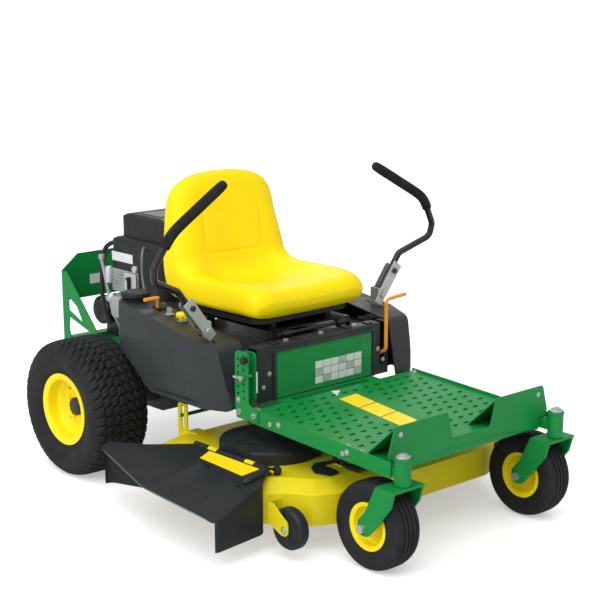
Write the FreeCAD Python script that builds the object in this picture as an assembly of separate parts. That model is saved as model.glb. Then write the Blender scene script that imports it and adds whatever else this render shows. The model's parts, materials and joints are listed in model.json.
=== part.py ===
import FreeCAD, Part
import math
import os
from FreeCAD import Vector

# Zero turn mower, millimetres.  +X forward, +Y to the operator's left, +Z up.
# The pieces are laid out from the rear axle: x = 0 at the axle, y = 0 on the mid-plane, z = 0 on the
# ground.  save() then moves them by SHIFT, so that the origin is the bottom centre of the whole box.

# ---- layout -------------------------------------------------------------------------------------
WHEELBASE = 1281.0
REAR_WHEEL_Y = 446.7
CASTER_Y = 334.4
CASTER_TRAIL = 96.0
RUN_FIT = 0.05          # radial clearance of a shaft that turns in its hole
SEAT_GAP = 0.3          # clearance between faces of pieces that move past each other
SHEET = 3.0             # pressed steel sheet
MOULD = 3.5             # wall of the moulded covers
ROUND_SHARE = 0.48      # the most of a side that one rounded corner takes up

# ---- rear wheels --------------------------------------------------------------------------------
REAR_TYRE_R = 231.0
REAR_TYRE_HALF = 106.0
REAR_TYRE_WALL = 12.0
REAR_BEAD_R = 101.6
REAR_FLANGE_R = 122.0
REAR_RIM_HALF = 92.0
REAR_DROP_R = 86.0
REAR_DISC_AT = 22.0     # outward from the wheel's middle plane
REAR_DISC_T = 5.0
REAR_HUB_HOLE_R = 33.0
LUG_CIRCLE_R = 50.8
LUG_COUNT = 5
LUG_R = 9.0
LUG_H = 12.0
AXLE_R = 12.7
HUB_R = 30.0
HUB_FLANGE_R = 64.0
HUB_FLANGE_T = 9.0

# ---- casters ------------------------------------------------------------------------------------
CASTER_TYRE_R = 132.6
CASTER_TYRE_HALF = 49.4
CASTER_TYRE_WALL = 9.0
CASTER_RIM_R = 63.0
CASTER_FLANGE_R = 72.0
CASTER_RIM_HALF = 41.0
CASTER_HUB_R = 21.0
CASTER_AXLE_R = 8.0
FORK_SHEET = 8.0
FORK_CLEAR = 4.0        # from the tyre's side to the fork's leg
FORK_PLATE_Z = 262.0
STEM_R = 12.9
PIVOT_TUBE_R = 24.0
PIVOT_TUBE_Z = 274.0
PIVOT_TUBE_H = 79.0
CAP_R = 21.0
CAP_H = 7.0

# ---- frame --------------------------------------------------------------------------------------
RAIL_Y = 190.0
RAIL_W = 40.0
RAIL_H = 45.0
RAIL_TOP = 352.0
RAIL_REAR = -445.0
RAIL_FRONT = 720.0
RAIL_WALL = 3.0
CROSS_W = 40.0
BEAM_X = WHEELBASE      # rear face of the front cross beam
BEAM_D = 48.0
BEAM_H = 29.0
BEAM_Z = 294.0
ARM_IN = 18.0           # how far each caster arm reaches in from the pivot tube's middle
ARM_OUT = 14.0          # and out
ENGINE_PLATE_T = 6.0
ENGINE_PLATE_X0 = -300.0
ENGINE_PLATE_X1 = 80.0
HITCH_PLATE_T = 8.0
HITCH_HOLE_R = 9.5
LIFT_PIN_Z = 258.0      # pins that guide the deck's hangers
LIFT_PIN_R = 6.0
LUG_SHEET = 5.0
TRAY_X = 303.0          # battery tray between the rails
TRAY_L = 140.0
BATTERY_IN = 10.0       # from the tray's rear edge to the battery
BATTERY_L = 125.0
BATTERY_H = 130.0
BATTERY_HALF = 95.0

# ---- foot platform ------------------------------------------------------------------------------
FLOOR_X0 = 755.0
FLOOR_Z0 = 355.0        # top of the floor at its rear edge
FLOOR_DROP = 27.0       # fall of the floor from its rear edge to the toe board
FLOOR_T = 4.0
SIDE_RAIL_Y = 355.0
SIDE_RAIL_ABOVE = 9.0
SIDE_RAIL_H = 47.0
SIDE_RAIL_PAST = 20.0   # how far the side rails run on in front of the beam
TOE_TOP_Z = 428.0
TOE_T = 4.0
TOE_SLOPE_RUN = 92.0    # from the toe board back to the foot of its sloping foot rests
TOE_ARCH = 28.0         # rise of the toe board's lower edge at the middle
WING_TOP_Y0 = 105.0
WING_TOP_Y1 = 322.0
WING_NOTCH_Y = 84.0
WING_NOTCH_Z = 347.0
WING_LOW_Y = 345.0
WING_LOW_Z = 331.0
TOE_LOW_Y = 306.0       # half width of the toe board between the caster arms

# ---- engine -------------------------------------------------------------------------------------
CRANK_X = -110.0
CRANK_R = 14.0
BLOCK_HALF_Y = 118.0
BLOCK_Z1 = 545.0
SHROUD_X0 = -262.0
SHROUD_X1 = 60.0
SHROUD_HALF_Y = 152.0
SHROUD_Z0 = 545.0
SHROUD_Z1 = 742.0
FILTER_X0 = -235.0
FILTER_X1 = 72.0
FILTER_HALF_Y = 122.0
FILTER_Z1 = 822.0
HOOD_ROUND = 26.0       # rounding along the top edges of the shroud and the filter cover
TRACTION_Z = 322.0      # underside of the traction pulleys
PULLEY_T = 18.0
TRACTION_R = 55.0
INPUT_X = 35.0
INPUT_Y = 100.0
INPUT_R = 60.0
PTO_PULLEY_R = 45.0
BELT_W = 9.0
BELT_T = 7.5
GROOVE_DEEP = 11.0
GROOVE_HALF = 4.4
MUFFLER_R = 52.0
MUFFLER_X = -345.0
MUFFLER_Z = 452.0
MUFFLER_HALF_Y = 140.0

# ---- rear guard ---------------------------------------------------------------------------------
GUARD_X = -474.0
GUARD_SHEET = 4.0
GUARD_TOP_Z = 645.0
GUARD_PANEL_Z0 = 478.0
GUARD_SHOULDER_Z = 590.0
GUARD_FRONT_X = -265.0

# ---- transaxles ---------------------------------------------------------------------------------
TRANS_Y0 = 60.0
TRANS_Y1 = 168.0
TRANS_TOP = 300.0
TRANS_HORN_R = 38.0
TRANS_HORN_END = 330.0
FAN_R = 56.0

# ---- mowing deck --------------------------------------------------------------------------------
DECK_FRONT = WHEELBASE - 163.0
DECK_L = 743.0
DECK_REAR = DECK_FRONT - DECK_L
SPINDLE_X = DECK_FRONT - 378.0
SPINDLE_Y = 266.0
BLADE_R = 262.0
BLADE_W = 60.0
BLADE_T = 5.0
BLADE_Z = 100.0
DECK_Z0 = 85.0
DECK_CREASE_Z = 178.0
DECK_TOP_Z = 207.0
DECK_APRON = 62.0       # how far the sloping apron runs in from the skirt
DECK_HALF = 541.0
CHUTE_MOUTH_X0 = SPINDLE_X - 180.0
CHUTE_MOUTH_X1 = SPINDLE_X + 165.0
MOUTH_TOP_Z = 176.0
SPINDLE_R = 12.5
SPINDLE_PULLEY_R = 70.0
BELT_PLANE_Z = 225.0
HOUSING_R = 40.0
HOUSING_FLANGE_R = 58.0
COVER_R = 160.0
COVER_TOP_Z = 255.0
COVER_OUTER_Y = 408.0
IDLER_X = SPINDLE_X - 290.0
IDLER_R = 30.0
DECK_UP = 40.0
DECK_DOWN = 30.0
HANGER_Y = 336.0
HANGER_SHEET = 4.0
HANGER_HALF = 24.0
HANGER_ABOVE = 10.0     # material above the slot's upper end
HANGER_FOOT = 4.0       # foot above the deck's top
REAR_PIN_X = DECK_REAR + 18.0
FRONT_PIN_X = DECK_FRONT - 118.0
SCALP_X = DECK_FRONT - 44.0
SCALP_Y = DECK_HALF - 61.0
SCALP_Z = 97.0
SCALP_R = 63.5
SCALP_HALF = 20.0
SCALP_PIN_R = 6.0

# ---- discharge chute ----------------------------------------------------------------------------
CHUTE_HINGE_Y = 111.0 - DECK_HALF
CHUTE_HINGE_Z = 222.0
CHUTE_HINGE_X0 = SPINDLE_X - 166.0
CHUTE_HINGE_X1 = SPINDLE_X + 188.0
CHUTE_BARREL_R = 11.0
CHUTE_ROD_R = 4.0
CHUTE_OUTER_Y = CHUTE_HINGE_Y - 282.0
CHUTE_TAIL = 274.0       # how far the rear wing reaches behind the hinge
CHUTE_NOSE = 87.0        # and the front wall in front of it
CHUTE_OUTER_Z = 152.0
CHUTE_BOTTOM_Z = 62.0

# ---- side pods, consoles and front panel --------------------------------------------------------
POD_IN_Y = 290.0
POD_OUT_Y = 425.0
POD_REAR_X = 98.0
POD_TOP_REAR_X = 182.0
POD_TOP_REAR_Z = 603.0
POD_TOP_FRONT_Z = 528.0
POD_FRONT_LEFT = 745.0
POD_FRONT_RIGHT = 680.0
POD_BOTTOM_Z = 335.0
POD_CREASE_Z = 505.0    # edge along the side: the panel leans in below it and above it
POD_LEAN = 14.0
POD_BEVEL = 28.0
POD_FLANGE_X = 345.0
POD_FLANGE_IN = 16.0    # how far the bottom flange reaches in under the seat deck's side
PANEL_X = 705.0
PANEL_HALF = 286.0
PANEL_T = 4.0
LEDGE_BEHIND = 12.0     # from the seat's hinge line to the ledge's rear edge
PANEL_TOP = 528.0
PANEL_FRAME = 5.0       # depth of the raised frame round the panel's field
PANEL_FIELD_HALF = 212.0
PANEL_FIELD_TOP = 505.0
PANEL_FRAME_W = 10.0
SEAT_DECK_X0 = 250.0
SEAT_DECK_X1 = 640.0
SEAT_DECK_TOP = 512.0

# ---- seat ---------------------------------------------------------------------------------------
SEAT_HINGE_X = 650.0
SEAT_HINGE_Z = 540.0
SEAT_HINGE_R = 6.0
SEAT_PLATE_Z = 548.0
SEAT_PLATE_T = 4.0
SEAT_PAN_Z = 570.0
SEAT_BOTTOM_Z = 586.0
SEAT_HALF = 245.0
SEAT_BACK_HALF = 213.0
SEAT_TOP_Z = 1004.0
SEAT_FRONT_X = 650.0

# ---- levers and small controls ------------------------------------------------------------------
ARM_X = 560.0
ARM_PIVOT_Z = 500.0
ARM_PIN_R = 8.0
ARM_HUB_R = 16.0
ARM_WEB_Y = 364.0
ARM_SHEET = 6.0
ARM_HALF = 19.0
ARM_TOP_Z = 606.0
ARM_EAR_L = 118.0       # length of the two ears along the lap bar
ARM_EAR_HALF = 15.0
BAR_PIVOT_Y = 388.0
BAR_PIVOT_Z = 592.0
BAR_PIN_R = 5.0
BAR_R = 11.0
GRIP_R = 16.5
BRAKE_Y = 258.0
BRAKE_ROD_R = 6.0
BRAKE_PIVOT_X = 668.0
BRAKE_PIVOT_Z = 405.0
GATE_Y = 359.0
GATE_T = 4.0
GATE_X = 698.0          # rear column of holes
GATE_COLUMN = 26.0      # to the front column
GATE_Z = 388.0          # lowest hole
GATE_EDGE = 14.0        # from the rear column to the plate's edge
GATE_FRONT = 22.0
GATE_FOOT_Z = 322.0
GATE_FOOT_X = 790.0
GATE_TOP_Z = 535.0
GATE_GAP = 30.0         # between the two plates' outer faces
GATE_HOLE_R = 5.0
GATE_PITCH = 22.0
GATE_ROWS = 7
PIN_ROW = 3
THROTTLE_X = 264.0
THROTTLE_Y = -335.0
THROTTLE_HUB_HALF = 4.0
THROTTLE_PIN_R = 3.0
PTO_X = 400.0
PTO_Y = -338.0
KEY_X = 334.0
KEY_Y = -338.0
FUEL_CAP_X = 166.0
FUEL_CAP_Y = -348.0
FUEL_CAP_R = 46.0
TANK_FRONT_X = 380.0
TANK_Z0 = 390.0
TANK_Z1 = 545.0
FUEL_NECK_R = 30.0

PIVOT_X = WHEELBASE + CASTER_TRAIL
AXLE_Z = REAR_TYRE_R
CASTER_Z = CASTER_TYRE_R
X_MIDDLE = (GUARD_X + WHEELBASE + CASTER_TYRE_R) / 2
BAR_OUT_Y = 606.245     # outermost point of the left lap bar's tube
CHUTE_CORNER = 0.965    # what the rounding of the chute's front corner takes off its width
Y_MIDDLE = (CHUTE_OUTER_Y + CHUTE_CORNER + BAR_OUT_Y) / 2
SHIFT = Vector(-X_MIDDLE, -Y_MIDDLE, 0)
RAIL_IN = RAIL_Y - RAIL_W / 2
RAIL_OUT = RAIL_Y + RAIL_W / 2
RAIL_BOTTOM = RAIL_TOP - RAIL_H
TOE_X = BEAM_X + BEAM_D
FLOOR_SLOPE = FLOOR_DROP / (TOE_X - FLOOR_X0)
X_DIR = Vector(1, 0, 0)
Y_DIR = Vector(0, 1, 0)
Z_DIR = Vector(0, 0, 1)


# ---- helpers ------------------------------------------------------------------------------------
def box(x0, x1, y0, y1, z0, z1):
    return Part.makeBox(x1 - x0, y1 - y0, z1 - z0, Vector(x0, y0, z0))


def rod(r, start, direction, length):
    return Part.makeCylinder(r, length, start, direction)


def mirror(shape):
    return shape.mirror(Vector(0, 0, 0), Y_DIR)


def both_sides(shape):
    return [shape, mirror(shape)]


def fuse(shapes):
    return shapes[0].multiFuse(shapes[1:]).removeSplitter()


def rounded(points, place):
    """Closed wire through (u, v, radius) corners; place() maps u, v to a point in space."""
    flat = [Vector(p[0], p[1], 0) for p in points]
    count = len(points)
    corners = []
    for i in range(count):
        radius = points[i][2] if len(points[i]) > 2 else 0
        before = flat[i - 1] - flat[i]
        after = flat[(i + 1) % count] - flat[i]
        room = min(before.Length, after.Length) * ROUND_SHARE
        before.normalize()
        after.normalize()
        if radius == 0:
            corners.append([flat[i]])
            continue
        half = before.getAngle(after) / 2
        reach = min(radius / math.tan(half), room)
        radius = reach * math.tan(half)
        centre = flat[i] + (before + after).normalize() * (radius / math.sin(half))
        middle = centre + (flat[i] - centre).normalize() * radius
        corners.append([flat[i] + before * reach, middle, flat[i] + after * reach])
    edges = []
    for i in range(count):
        here = [place(p.x, p.y) for p in corners[i]]
        ahead = place(corners[(i + 1) % count][0].x, corners[(i + 1) % count][0].y)
        if len(here) == 3:
            edges.append(Part.Arc(here[0], here[1], here[2]).toShape())
        if (ahead - here[-1]).Length > 0.001:
            edges.append(Part.LineSegment(here[-1], ahead).toShape())
    return Part.Wire(edges)


def prism_xz(points, y0, y1):
    wire = rounded(points, lambda u, v: Vector(u, y0, v))
    return Part.Face(wire).extrude(Vector(0, y1 - y0, 0))


def prism_xy(points, z0, z1):
    wire = rounded(points, lambda u, v: Vector(u, v, z0))
    return Part.Face(wire).extrude(Vector(0, 0, z1 - z0))


def prism_yz(points, x0, x1):
    wire = rounded(points, lambda u, v: Vector(x0, u, v))
    return Part.Face(wire).extrude(Vector(x1 - x0, 0, 0))


def turned_y(profile, centre):
    """Solid of revolution about the Y line through centre; the profile holds (radius, y offset)."""
    wire = rounded(profile, lambda u, v: Vector(centre.x, centre.y + v, centre.z + u))
    return Part.Face(wire).revolve(centre, Y_DIR, 360)


def turned_z(profile, centre):
    """Solid of revolution about the Z line through centre; the profile holds (radius, z offset)."""
    wire = rounded(profile, lambda u, v: Vector(centre.x + u, centre.y, centre.z + v))
    return Part.Face(wire).revolve(centre, Z_DIR, 360)


def bend_path(points, bend):
    """Straight runs joined by tangent arcs of one bend radius."""
    edges = []
    start = points[0]
    for i in range(1, len(points) - 1):
        back = (points[i - 1] - points[i]).normalize()
        ahead = (points[i + 1] - points[i]).normalize()
        half = back.getAngle(ahead) / 2
        reach = bend / math.tan(half)
        centre = points[i] + (back + ahead).normalize() * (bend / math.sin(half))
        first = points[i] + back * reach
        last = points[i] + ahead * reach
        middle = centre + (points[i] - centre).normalize() * bend
        edges.append(Part.LineSegment(start, first).toShape())
        edges.append(Part.Arc(first, middle, last).toShape())
        start = last
    edges.append(Part.LineSegment(start, points[-1]).toShape())
    return Part.Wire(edges)


def bent_rod(points, r, bend):
    path = bend_path(points, bend)
    profile = Part.Wire(Part.makeCircle(r, points[0], points[1] - points[0]))
    return path.makePipeShell([profile], True, True)


def inset(points, depth):
    """The same closed outline (counter-clockwise), moved inward by depth."""
    count = len(points)
    result = []
    for i in range(count):
        here = Vector(points[i][0], points[i][1], 0)
        before = (here - Vector(points[i - 1][0], points[i - 1][1], 0)).normalize()
        nxt = points[(i + 1) % count]
        after = (Vector(nxt[0], nxt[1], 0) - here).normalize()
        normal_a = Vector(-before.y, before.x, 0)
        normal_b = Vector(-after.y, after.x, 0)
        bisector = (normal_a + normal_b).normalize()
        moved = here + bisector * (depth / bisector.dot(normal_a))
        radius = points[i][2]
        turn = before.x * after.y - before.y * after.x
        radius = max(radius - depth, 4.0) if turn > 0 else radius + depth
        result.append((moved.x, moved.y, radius))
    return result


def belt_outline(pulleys, width, outside):
    """Closed wire round (x, y, r, side) pulleys; side is -1 where the belt's back runs on one."""
    radii = []
    for x, y, r, side in pulleys:
        wide = outside if side > 0 else not outside
        radii.append(r + (width if wide else 0))
    count = len(pulleys)
    leave = []
    arrive = [None] * count
    for i in range(count):
        j = (i + 1) % count
        a = Vector(pulleys[i][0], pulleys[i][1], 0)
        b = Vector(pulleys[j][0], pulleys[j][1], 0)
        signed_a = radii[i] * pulleys[i][3]
        signed_b = radii[j] * pulleys[j][3]
        span = b - a
        heading = math.atan2(span.y, span.x) - math.asin((signed_b - signed_a) / span.Length)
        normal = Vector(-math.sin(heading), math.cos(heading), 0)
        leave.append(a - normal * signed_a)
        arrive[j] = b - normal * signed_b
    edges = []
    for i in range(count):
        centre = Vector(pulleys[i][0], pulleys[i][1], 0)
        first = math.atan2(arrive[i].y - centre.y, arrive[i].x - centre.x)
        last = math.atan2(leave[i].y - centre.y, leave[i].x - centre.x)
        side = pulleys[i][3]
        sweep = (last - first) * side % (2 * math.pi)
        middle = first + side * sweep / 2
        top = centre + Vector(math.cos(middle), math.sin(middle), 0) * radii[i]
        edges.append(Part.Arc(arrive[i], top, leave[i]).toShape())
        edges.append(Part.LineSegment(leave[i], arrive[(i + 1) % count]).toShape())
    return Part.Wire(edges)


def belt(pulleys, z_middle):
    outer = Part.Face(belt_outline(pulleys, BELT_W, True)).extrude(Vector(0, 0, BELT_T))
    inner = Part.Face(belt_outline(pulleys, BELT_W, False)).extrude(Vector(0, 0, BELT_T))
    loop = outer.cut(inner)
    loop.translate(Vector(0, 0, z_middle - BELT_T / 2))
    return loop


def groove_profile(r, bore, z0):
    """Half section of a V-belt pulley, PULLEY_T thick, from z0 up."""
    floor = r - GROOVE_DEEP
    middle = z0 + PULLEY_T / 2
    return [(bore, z0), (r, z0), (r, middle - GROOVE_HALF - 2), (floor, middle - GROOVE_HALF),
            (floor, middle + GROOVE_HALF), (r, middle + GROOVE_HALF + 2), (r, z0 + PULLEY_T),
            (bore, z0 + PULLEY_T)]


def belt_seat(r):
    """Radius at which the belt's inner face runs in the groove of a pulley of radius r."""
    return r - GROOVE_DEEP + SEAT_GAP


PARTS = {}


def save(name, shapes):
    """Keep a node: one shape or a list of separate solids."""
    if not isinstance(shapes, list):
        shapes = [shapes]
    solids = []
    for shape in shapes:
        moved = shape.copy()
        moved.translate(SHIFT)
        solids.extend(moved.Solids)
    PARTS[name] = solids[0] if len(solids) == 1 else Part.makeCompound(solids)


# ---- frame --------------------------------------------------------------------------------------
def floor_z(x):
    """Top of the sloping floor at x; the front rails follow it."""
    return FLOOR_Z0 - (x - FLOOR_X0) * FLOOR_SLOPE


def frame_rail():
    """Hollow rail of the left side: straight under the engine and seat, sloping under the floor."""
    def side_view(grow, x0, x1):
        top = [(x0, RAIL_TOP + grow), (RAIL_FRONT, RAIL_TOP + grow)]
        nose = floor_z(x1) - FLOOR_T + grow
        bottom = nose - RAIL_H - 2 * grow
        back = [(x1, nose), (x1, bottom), (RAIL_FRONT, RAIL_BOTTOM - grow), (x0, RAIL_BOTTOM - grow)]
        return top + back
    outer = prism_xz(side_view(0, RAIL_REAR, BEAM_X), RAIL_IN, RAIL_OUT)
    core = side_view(-RAIL_WALL, RAIL_REAR - 5, BEAM_X + 5)
    inner = prism_xz(core, RAIL_IN + RAIL_WALL, RAIL_OUT - RAIL_WALL)
    return outer.cut(inner)


def pin_lug(x, y0, y1):
    """Lug below the left rail that holds a guide pin of the deck's hangers."""
    return prism_xz([(x - 22, RAIL_BOTTOM + 5), (x - 12, LIFT_PIN_Z - 10, 8), (x + 12, LIFT_PIN_Z - 10, 8),
                     (x + 22, RAIL_BOTTOM + 5)], y0, y1)


def frame_welds():
    """Every tube, plate and pin of the frame, before its holes."""
    welds = both_sides(frame_rail())
    for x0 in (RAIL_REAR, TRAY_X + TRAY_L, RAIL_FRONT - CROSS_W):
        welds.append(box(x0, x0 + CROSS_W, -RAIL_IN, RAIL_IN, RAIL_BOTTOM, RAIL_TOP))
    plate = box(ENGINE_PLATE_X0, ENGINE_PLATE_X1, -RAIL_OUT, RAIL_OUT, RAIL_TOP,
                RAIL_TOP + ENGINE_PLATE_T)
    tray = box(TRAY_X, TRAY_X + TRAY_L, -RAIL_IN, RAIL_IN, RAIL_TOP - SHEET, RAIL_TOP)
    hitch = box(GUARD_X, RAIL_REAR, -60, 60, RAIL_BOTTOM, RAIL_BOTTOM + HITCH_PLATE_T)
    reach = CASTER_Y + ARM_OUT
    beam = box(BEAM_X, TOE_X, -reach, reach, BEAM_Z, BEAM_Z + BEAM_H)
    welds += [plate, tray, hitch, beam]
    arm = box(TOE_X - 1, PIVOT_X - 10, CASTER_Y - ARM_IN, reach, BEAM_Z, BEAM_Z + BEAM_H)
    tube = rod(PIVOT_TUBE_R, Vector(PIVOT_X, CASTER_Y, PIVOT_TUBE_Z), Z_DIR, PIVOT_TUBE_H)
    rear_pin = rod(LIFT_PIN_R, Vector(REAR_PIN_X, RAIL_OUT - LUG_SHEET, LIFT_PIN_Z), Y_DIR,
                   HANGER_Y + 10 - RAIL_OUT + LUG_SHEET)
    front_pin = rod(LIFT_PIN_R, Vector(FRONT_PIN_X, RAIL_IN, LIFT_PIN_Z), Y_DIR, RAIL_W + 16)
    rear_lug = pin_lug(REAR_PIN_X, RAIL_OUT - LUG_SHEET, RAIL_OUT)
    front_lug = pin_lug(FRONT_PIN_X, RAIL_IN, RAIL_IN + LUG_SHEET)
    for left in (arm, tube, rear_pin, front_pin, rear_lug, front_lug, fender_strap()):
        welds += both_sides(left)
    return welds


def main_frame():
    frame = fuse(frame_welds())
    for y in (CASTER_Y, -CASTER_Y):
        frame = frame.cut(rod(STEM_R + RUN_FIT, Vector(PIVOT_X, y, PIVOT_TUBE_Z - 1), Z_DIR, PIVOT_TUBE_H + 2))
    frame = frame.cut(rod(HITCH_HOLE_R, Vector(GUARD_X + 16, 0, RAIL_BOTTOM - 1), Z_DIR, HITCH_PLATE_T + 2))
    return frame.cut(rod(CRANK_R * 2, Vector(CRANK_X, 0, RAIL_TOP - 1), Z_DIR, ENGINE_PLATE_T + 2))


def fender_strap():
    """Curved strap over the inner side of the left rear tyre that carries the pod's rear edge."""
    inner_r = REAR_TYRE_R + 14
    ring = rod(inner_r + SHEET, Vector(0, RAIL_OUT - 2, AXLE_Z), Y_DIR, POD_IN_Y + 60 - RAIL_OUT)
    ring = ring.cut(rod(inner_r, Vector(0, RAIL_OUT - 3, AXLE_Z), Y_DIR, POD_IN_Y + 62 - RAIL_OUT))
    window = prism_xz([(60, 330), (inner_r + 20, 330), (inner_r + 20, 420), (60, 520)],
                      RAIL_OUT - 3, POD_IN_Y + 60)
    strap = ring.common(window)
    foot = box(150, 235, RAIL_OUT - 2, RAIL_OUT + 2, RAIL_BOTTOM, 405)
    return strap.fuse(foot.cut(rod(inner_r, Vector(0, RAIL_OUT - 3, AXLE_Z), Y_DIR, 8)))


def toe_outline():
    """Front view of the toe board: an arched lower edge, and two wings with the notch between them."""
    arch_z = WING_LOW_Z - 41
    right = [(TOE_LOW_Y * 0.4, arch_z + TOE_ARCH, 200), (TOE_LOW_Y, arch_z), (TOE_LOW_Y, WING_LOW_Z),
             (WING_LOW_Y, WING_LOW_Z), (WING_LOW_Y, WING_LOW_Z + 21), (WING_TOP_Y1, TOE_TOP_Z, 10),
             (WING_TOP_Y0, TOE_TOP_Z, 10), (WING_NOTCH_Y, WING_NOTCH_Z, 12)]
    left = [(-corner[0],) + corner[1:] for corner in reversed(right)]
    return right + left


def foot_rest():
    """Left foot rest: a plate that slopes from the top of the toe board's wing back to the floor."""
    front = TOE_X + TOE_T
    back = front - TOE_SLOPE_RUN
    foot_z = floor_z(back) - 1
    slope = prism_xz([(front, TOE_TOP_Z), (back, foot_z), (back + 1.4 * TOE_T, foot_z),
                      (front, TOE_TOP_Z - 1.4 * TOE_T)], 0, SIDE_RAIL_Y)
    wing = prism_yz([(WING_NOTCH_Y, foot_z - 1), (WING_LOW_Y, foot_z - 1), (WING_LOW_Y, WING_LOW_Z + 21),
                     (WING_TOP_Y1, TOE_TOP_Z, 10), (WING_TOP_Y0, TOE_TOP_Z, 10), (WING_NOTCH_Y, WING_NOTCH_Z)],
                    back - 1, front)
    return slope.common(wing)


def foot_platform():
    """Folded floor with raised side rails and a toe board whose two wings carry sloping foot rests."""
    x0, x1, x2 = FLOOR_X0, TOE_X, TOE_X + SIDE_RAIL_PAST
    edge = SIDE_RAIL_Y
    floor = prism_xz([(x0, floor_z(x0) - FLOOR_T), (x1 + 1, floor_z(x1 + 1) - FLOOR_T), (x1 + 1, floor_z(x1 + 1)),
                      (x0, floor_z(x0))], -edge, edge)
    top = SIDE_RAIL_ABOVE
    bottom = SIDE_RAIL_ABOVE - SIDE_RAIL_H
    rail = prism_xz([(x0, floor_z(x0) + bottom), (x2, floor_z(x2) + bottom), (x2, floor_z(x2) + top),
                     (x0, floor_z(x0) + top)], edge - FLOOR_T, edge)
    toe = prism_yz(toe_outline(), x1, x1 + TOE_T)
    return fuse([floor, toe] + both_sides(rail) + both_sides(foot_rest()))


def rear_guard():
    side = [(GUARD_X, RAIL_BOTTOM + 4), (GUARD_X + 44, RAIL_BOTTOM + 4), (GUARD_X + 44, 350, 6),
            (GUARD_X + 34, 380, 6), (GUARD_X + 40, 425, 6), (GUARD_FRONT_X - 28, 385, 8),
            (GUARD_FRONT_X - 28, RAIL_BOTTOM + 4), (GUARD_FRONT_X, RAIL_BOTTOM + 4), (GUARD_FRONT_X, 400, 20),
            (GUARD_X + 30, GUARD_SHOULDER_Z, 10), (GUARD_X, GUARD_SHOULDER_Z)]
    plate = prism_xz(side, RAIL_OUT, RAIL_OUT + GUARD_SHEET)
    window = prism_xz([(GUARD_X + 38, 450, 5), (GUARD_X + 128, 412, 5), (GUARD_X + 92, 470, 5),
                       (GUARD_X + 38, 500, 5)], RAIL_OUT - 1, RAIL_OUT + GUARD_SHEET + 1)
    plate = plate.cut(window)
    half = RAIL_OUT + GUARD_SHEET
    shoulder = half - 72
    panel = prism_yz([(-half, GUARD_PANEL_Z0), (half, GUARD_PANEL_Z0), (half, GUARD_SHOULDER_Z),
                      (shoulder, GUARD_TOP_Z, 14), (-shoulder, GUARD_TOP_Z, 14), (-half, GUARD_SHOULDER_Z)],
                     GUARD_X, GUARD_X + GUARD_SHEET)
    return fuse([panel] + both_sides(plate))


# ---- engine and drive ---------------------------------------------------------------------------
def cylinder_head(side):
    """Finned cylinder and valve cover of one bank, lying across the frame."""
    y0 = side * (BLOCK_HALF_Y - 4)
    middle = Vector(CRANK_X - 40, y0, 505)
    direction = Y_DIR * side
    pieces = [rod(36, middle, direction, 52)]
    for i in range(6):
        fin = box(middle.x - 58, middle.x + 58, 0, 3.2, middle.z - 46, middle.z + 36)
        fin.translate(Vector(0, y0 + side * (6 + i * 8) - 1.6, 0))
        pieces.append(fin)
    y_cover = y0 + side * 50
    low, high = min(y_cover, y_cover + side * 26), max(y_cover, y_cover + side * 26)
    cover = prism_xz([(middle.x - 52, middle.z - 42, 12), (middle.x + 52, middle.z - 42, 12),
                      (middle.x + 52, middle.z + 34, 12), (middle.x - 52, middle.z + 34, 12)], low, high)
    return fuse(pieces + [cover])


def engine_block():
    z0 = RAIL_TOP + ENGINE_PLATE_T
    case = prism_xy([(CRANK_X - 130, -BLOCK_HALF_Y, 30), (CRANK_X + 130, -BLOCK_HALF_Y, 30),
                     (CRANK_X + 130, BLOCK_HALF_Y, 30), (CRANK_X - 130, BLOCK_HALF_Y, 30)], z0, BLOCK_Z1)
    sump = prism_xy([(CRANK_X - 145, -BLOCK_HALF_Y - 15, 30), (CRANK_X + 145, -BLOCK_HALF_Y - 15, 30),
                     (CRANK_X + 145, BLOCK_HALF_Y + 15, 30), (CRANK_X - 145, BLOCK_HALF_Y + 15, 30)],
                    z0, z0 + 12)
    block = fuse([case, sump, cylinder_head(1), cylinder_head(-1)])
    block = block.cut(rod(CRANK_R + RUN_FIT, Vector(CRANK_X, 0, z0 - 1), Z_DIR, 31))
    oil_filter = rod(38, Vector(CRANK_X + 130 + SEAT_GAP, -60, 430), X_DIR, 78)
    dipstick = bent_rod([Vector(CRANK_X - 100, -BLOCK_HALF_Y - 7, z0 + 12), Vector(CRANK_X - 128, -158, 470),
                         Vector(CRANK_X - 165, -172, 655)], 7, 60)
    grip = rod(12, Vector(CRANK_X - 165, -172, 655.2), Z_DIR, 16)
    return [block, oil_filter, dipstick, grip]


def engine_shroud():
    """Moulded blower housing: a hollow hood, open below, standing on the crankcase."""
    def hood(grow):
        y = SHROUD_HALF_Y - grow
        x0, x1 = SHROUD_X0 + grow, SHROUD_X1 - grow
        top = SHROUD_Z1 - grow
        plan = [(x0, -y, 45), (x1, -y, 45), (x1, y, 45), (x0, y, 45)]
        side = [(x0, SHROUD_Z0 - grow), (x1, SHROUD_Z0 - grow), (x1, top, 26), (x0 + 24, top, 40),
                (x0, top - 70, 40)]
        end = [(-y, SHROUD_Z0 - grow), (y, SHROUD_Z0 - grow), (y, top, HOOD_ROUND), (-y, top, HOOD_ROUND)]
        form = prism_xz(side, -y, y).common(prism_xy(plan, SHROUD_Z0 - grow, top))
        return form.common(prism_yz(end, x0, x1))
    shell = hood(0).cut(hood(MOULD))
    post = box(CRANK_X - 20, CRANK_X + 20, -20, 20, BLOCK_Z1, SHROUD_Z1 - MOULD)
    return shell.fuse(post)


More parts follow.
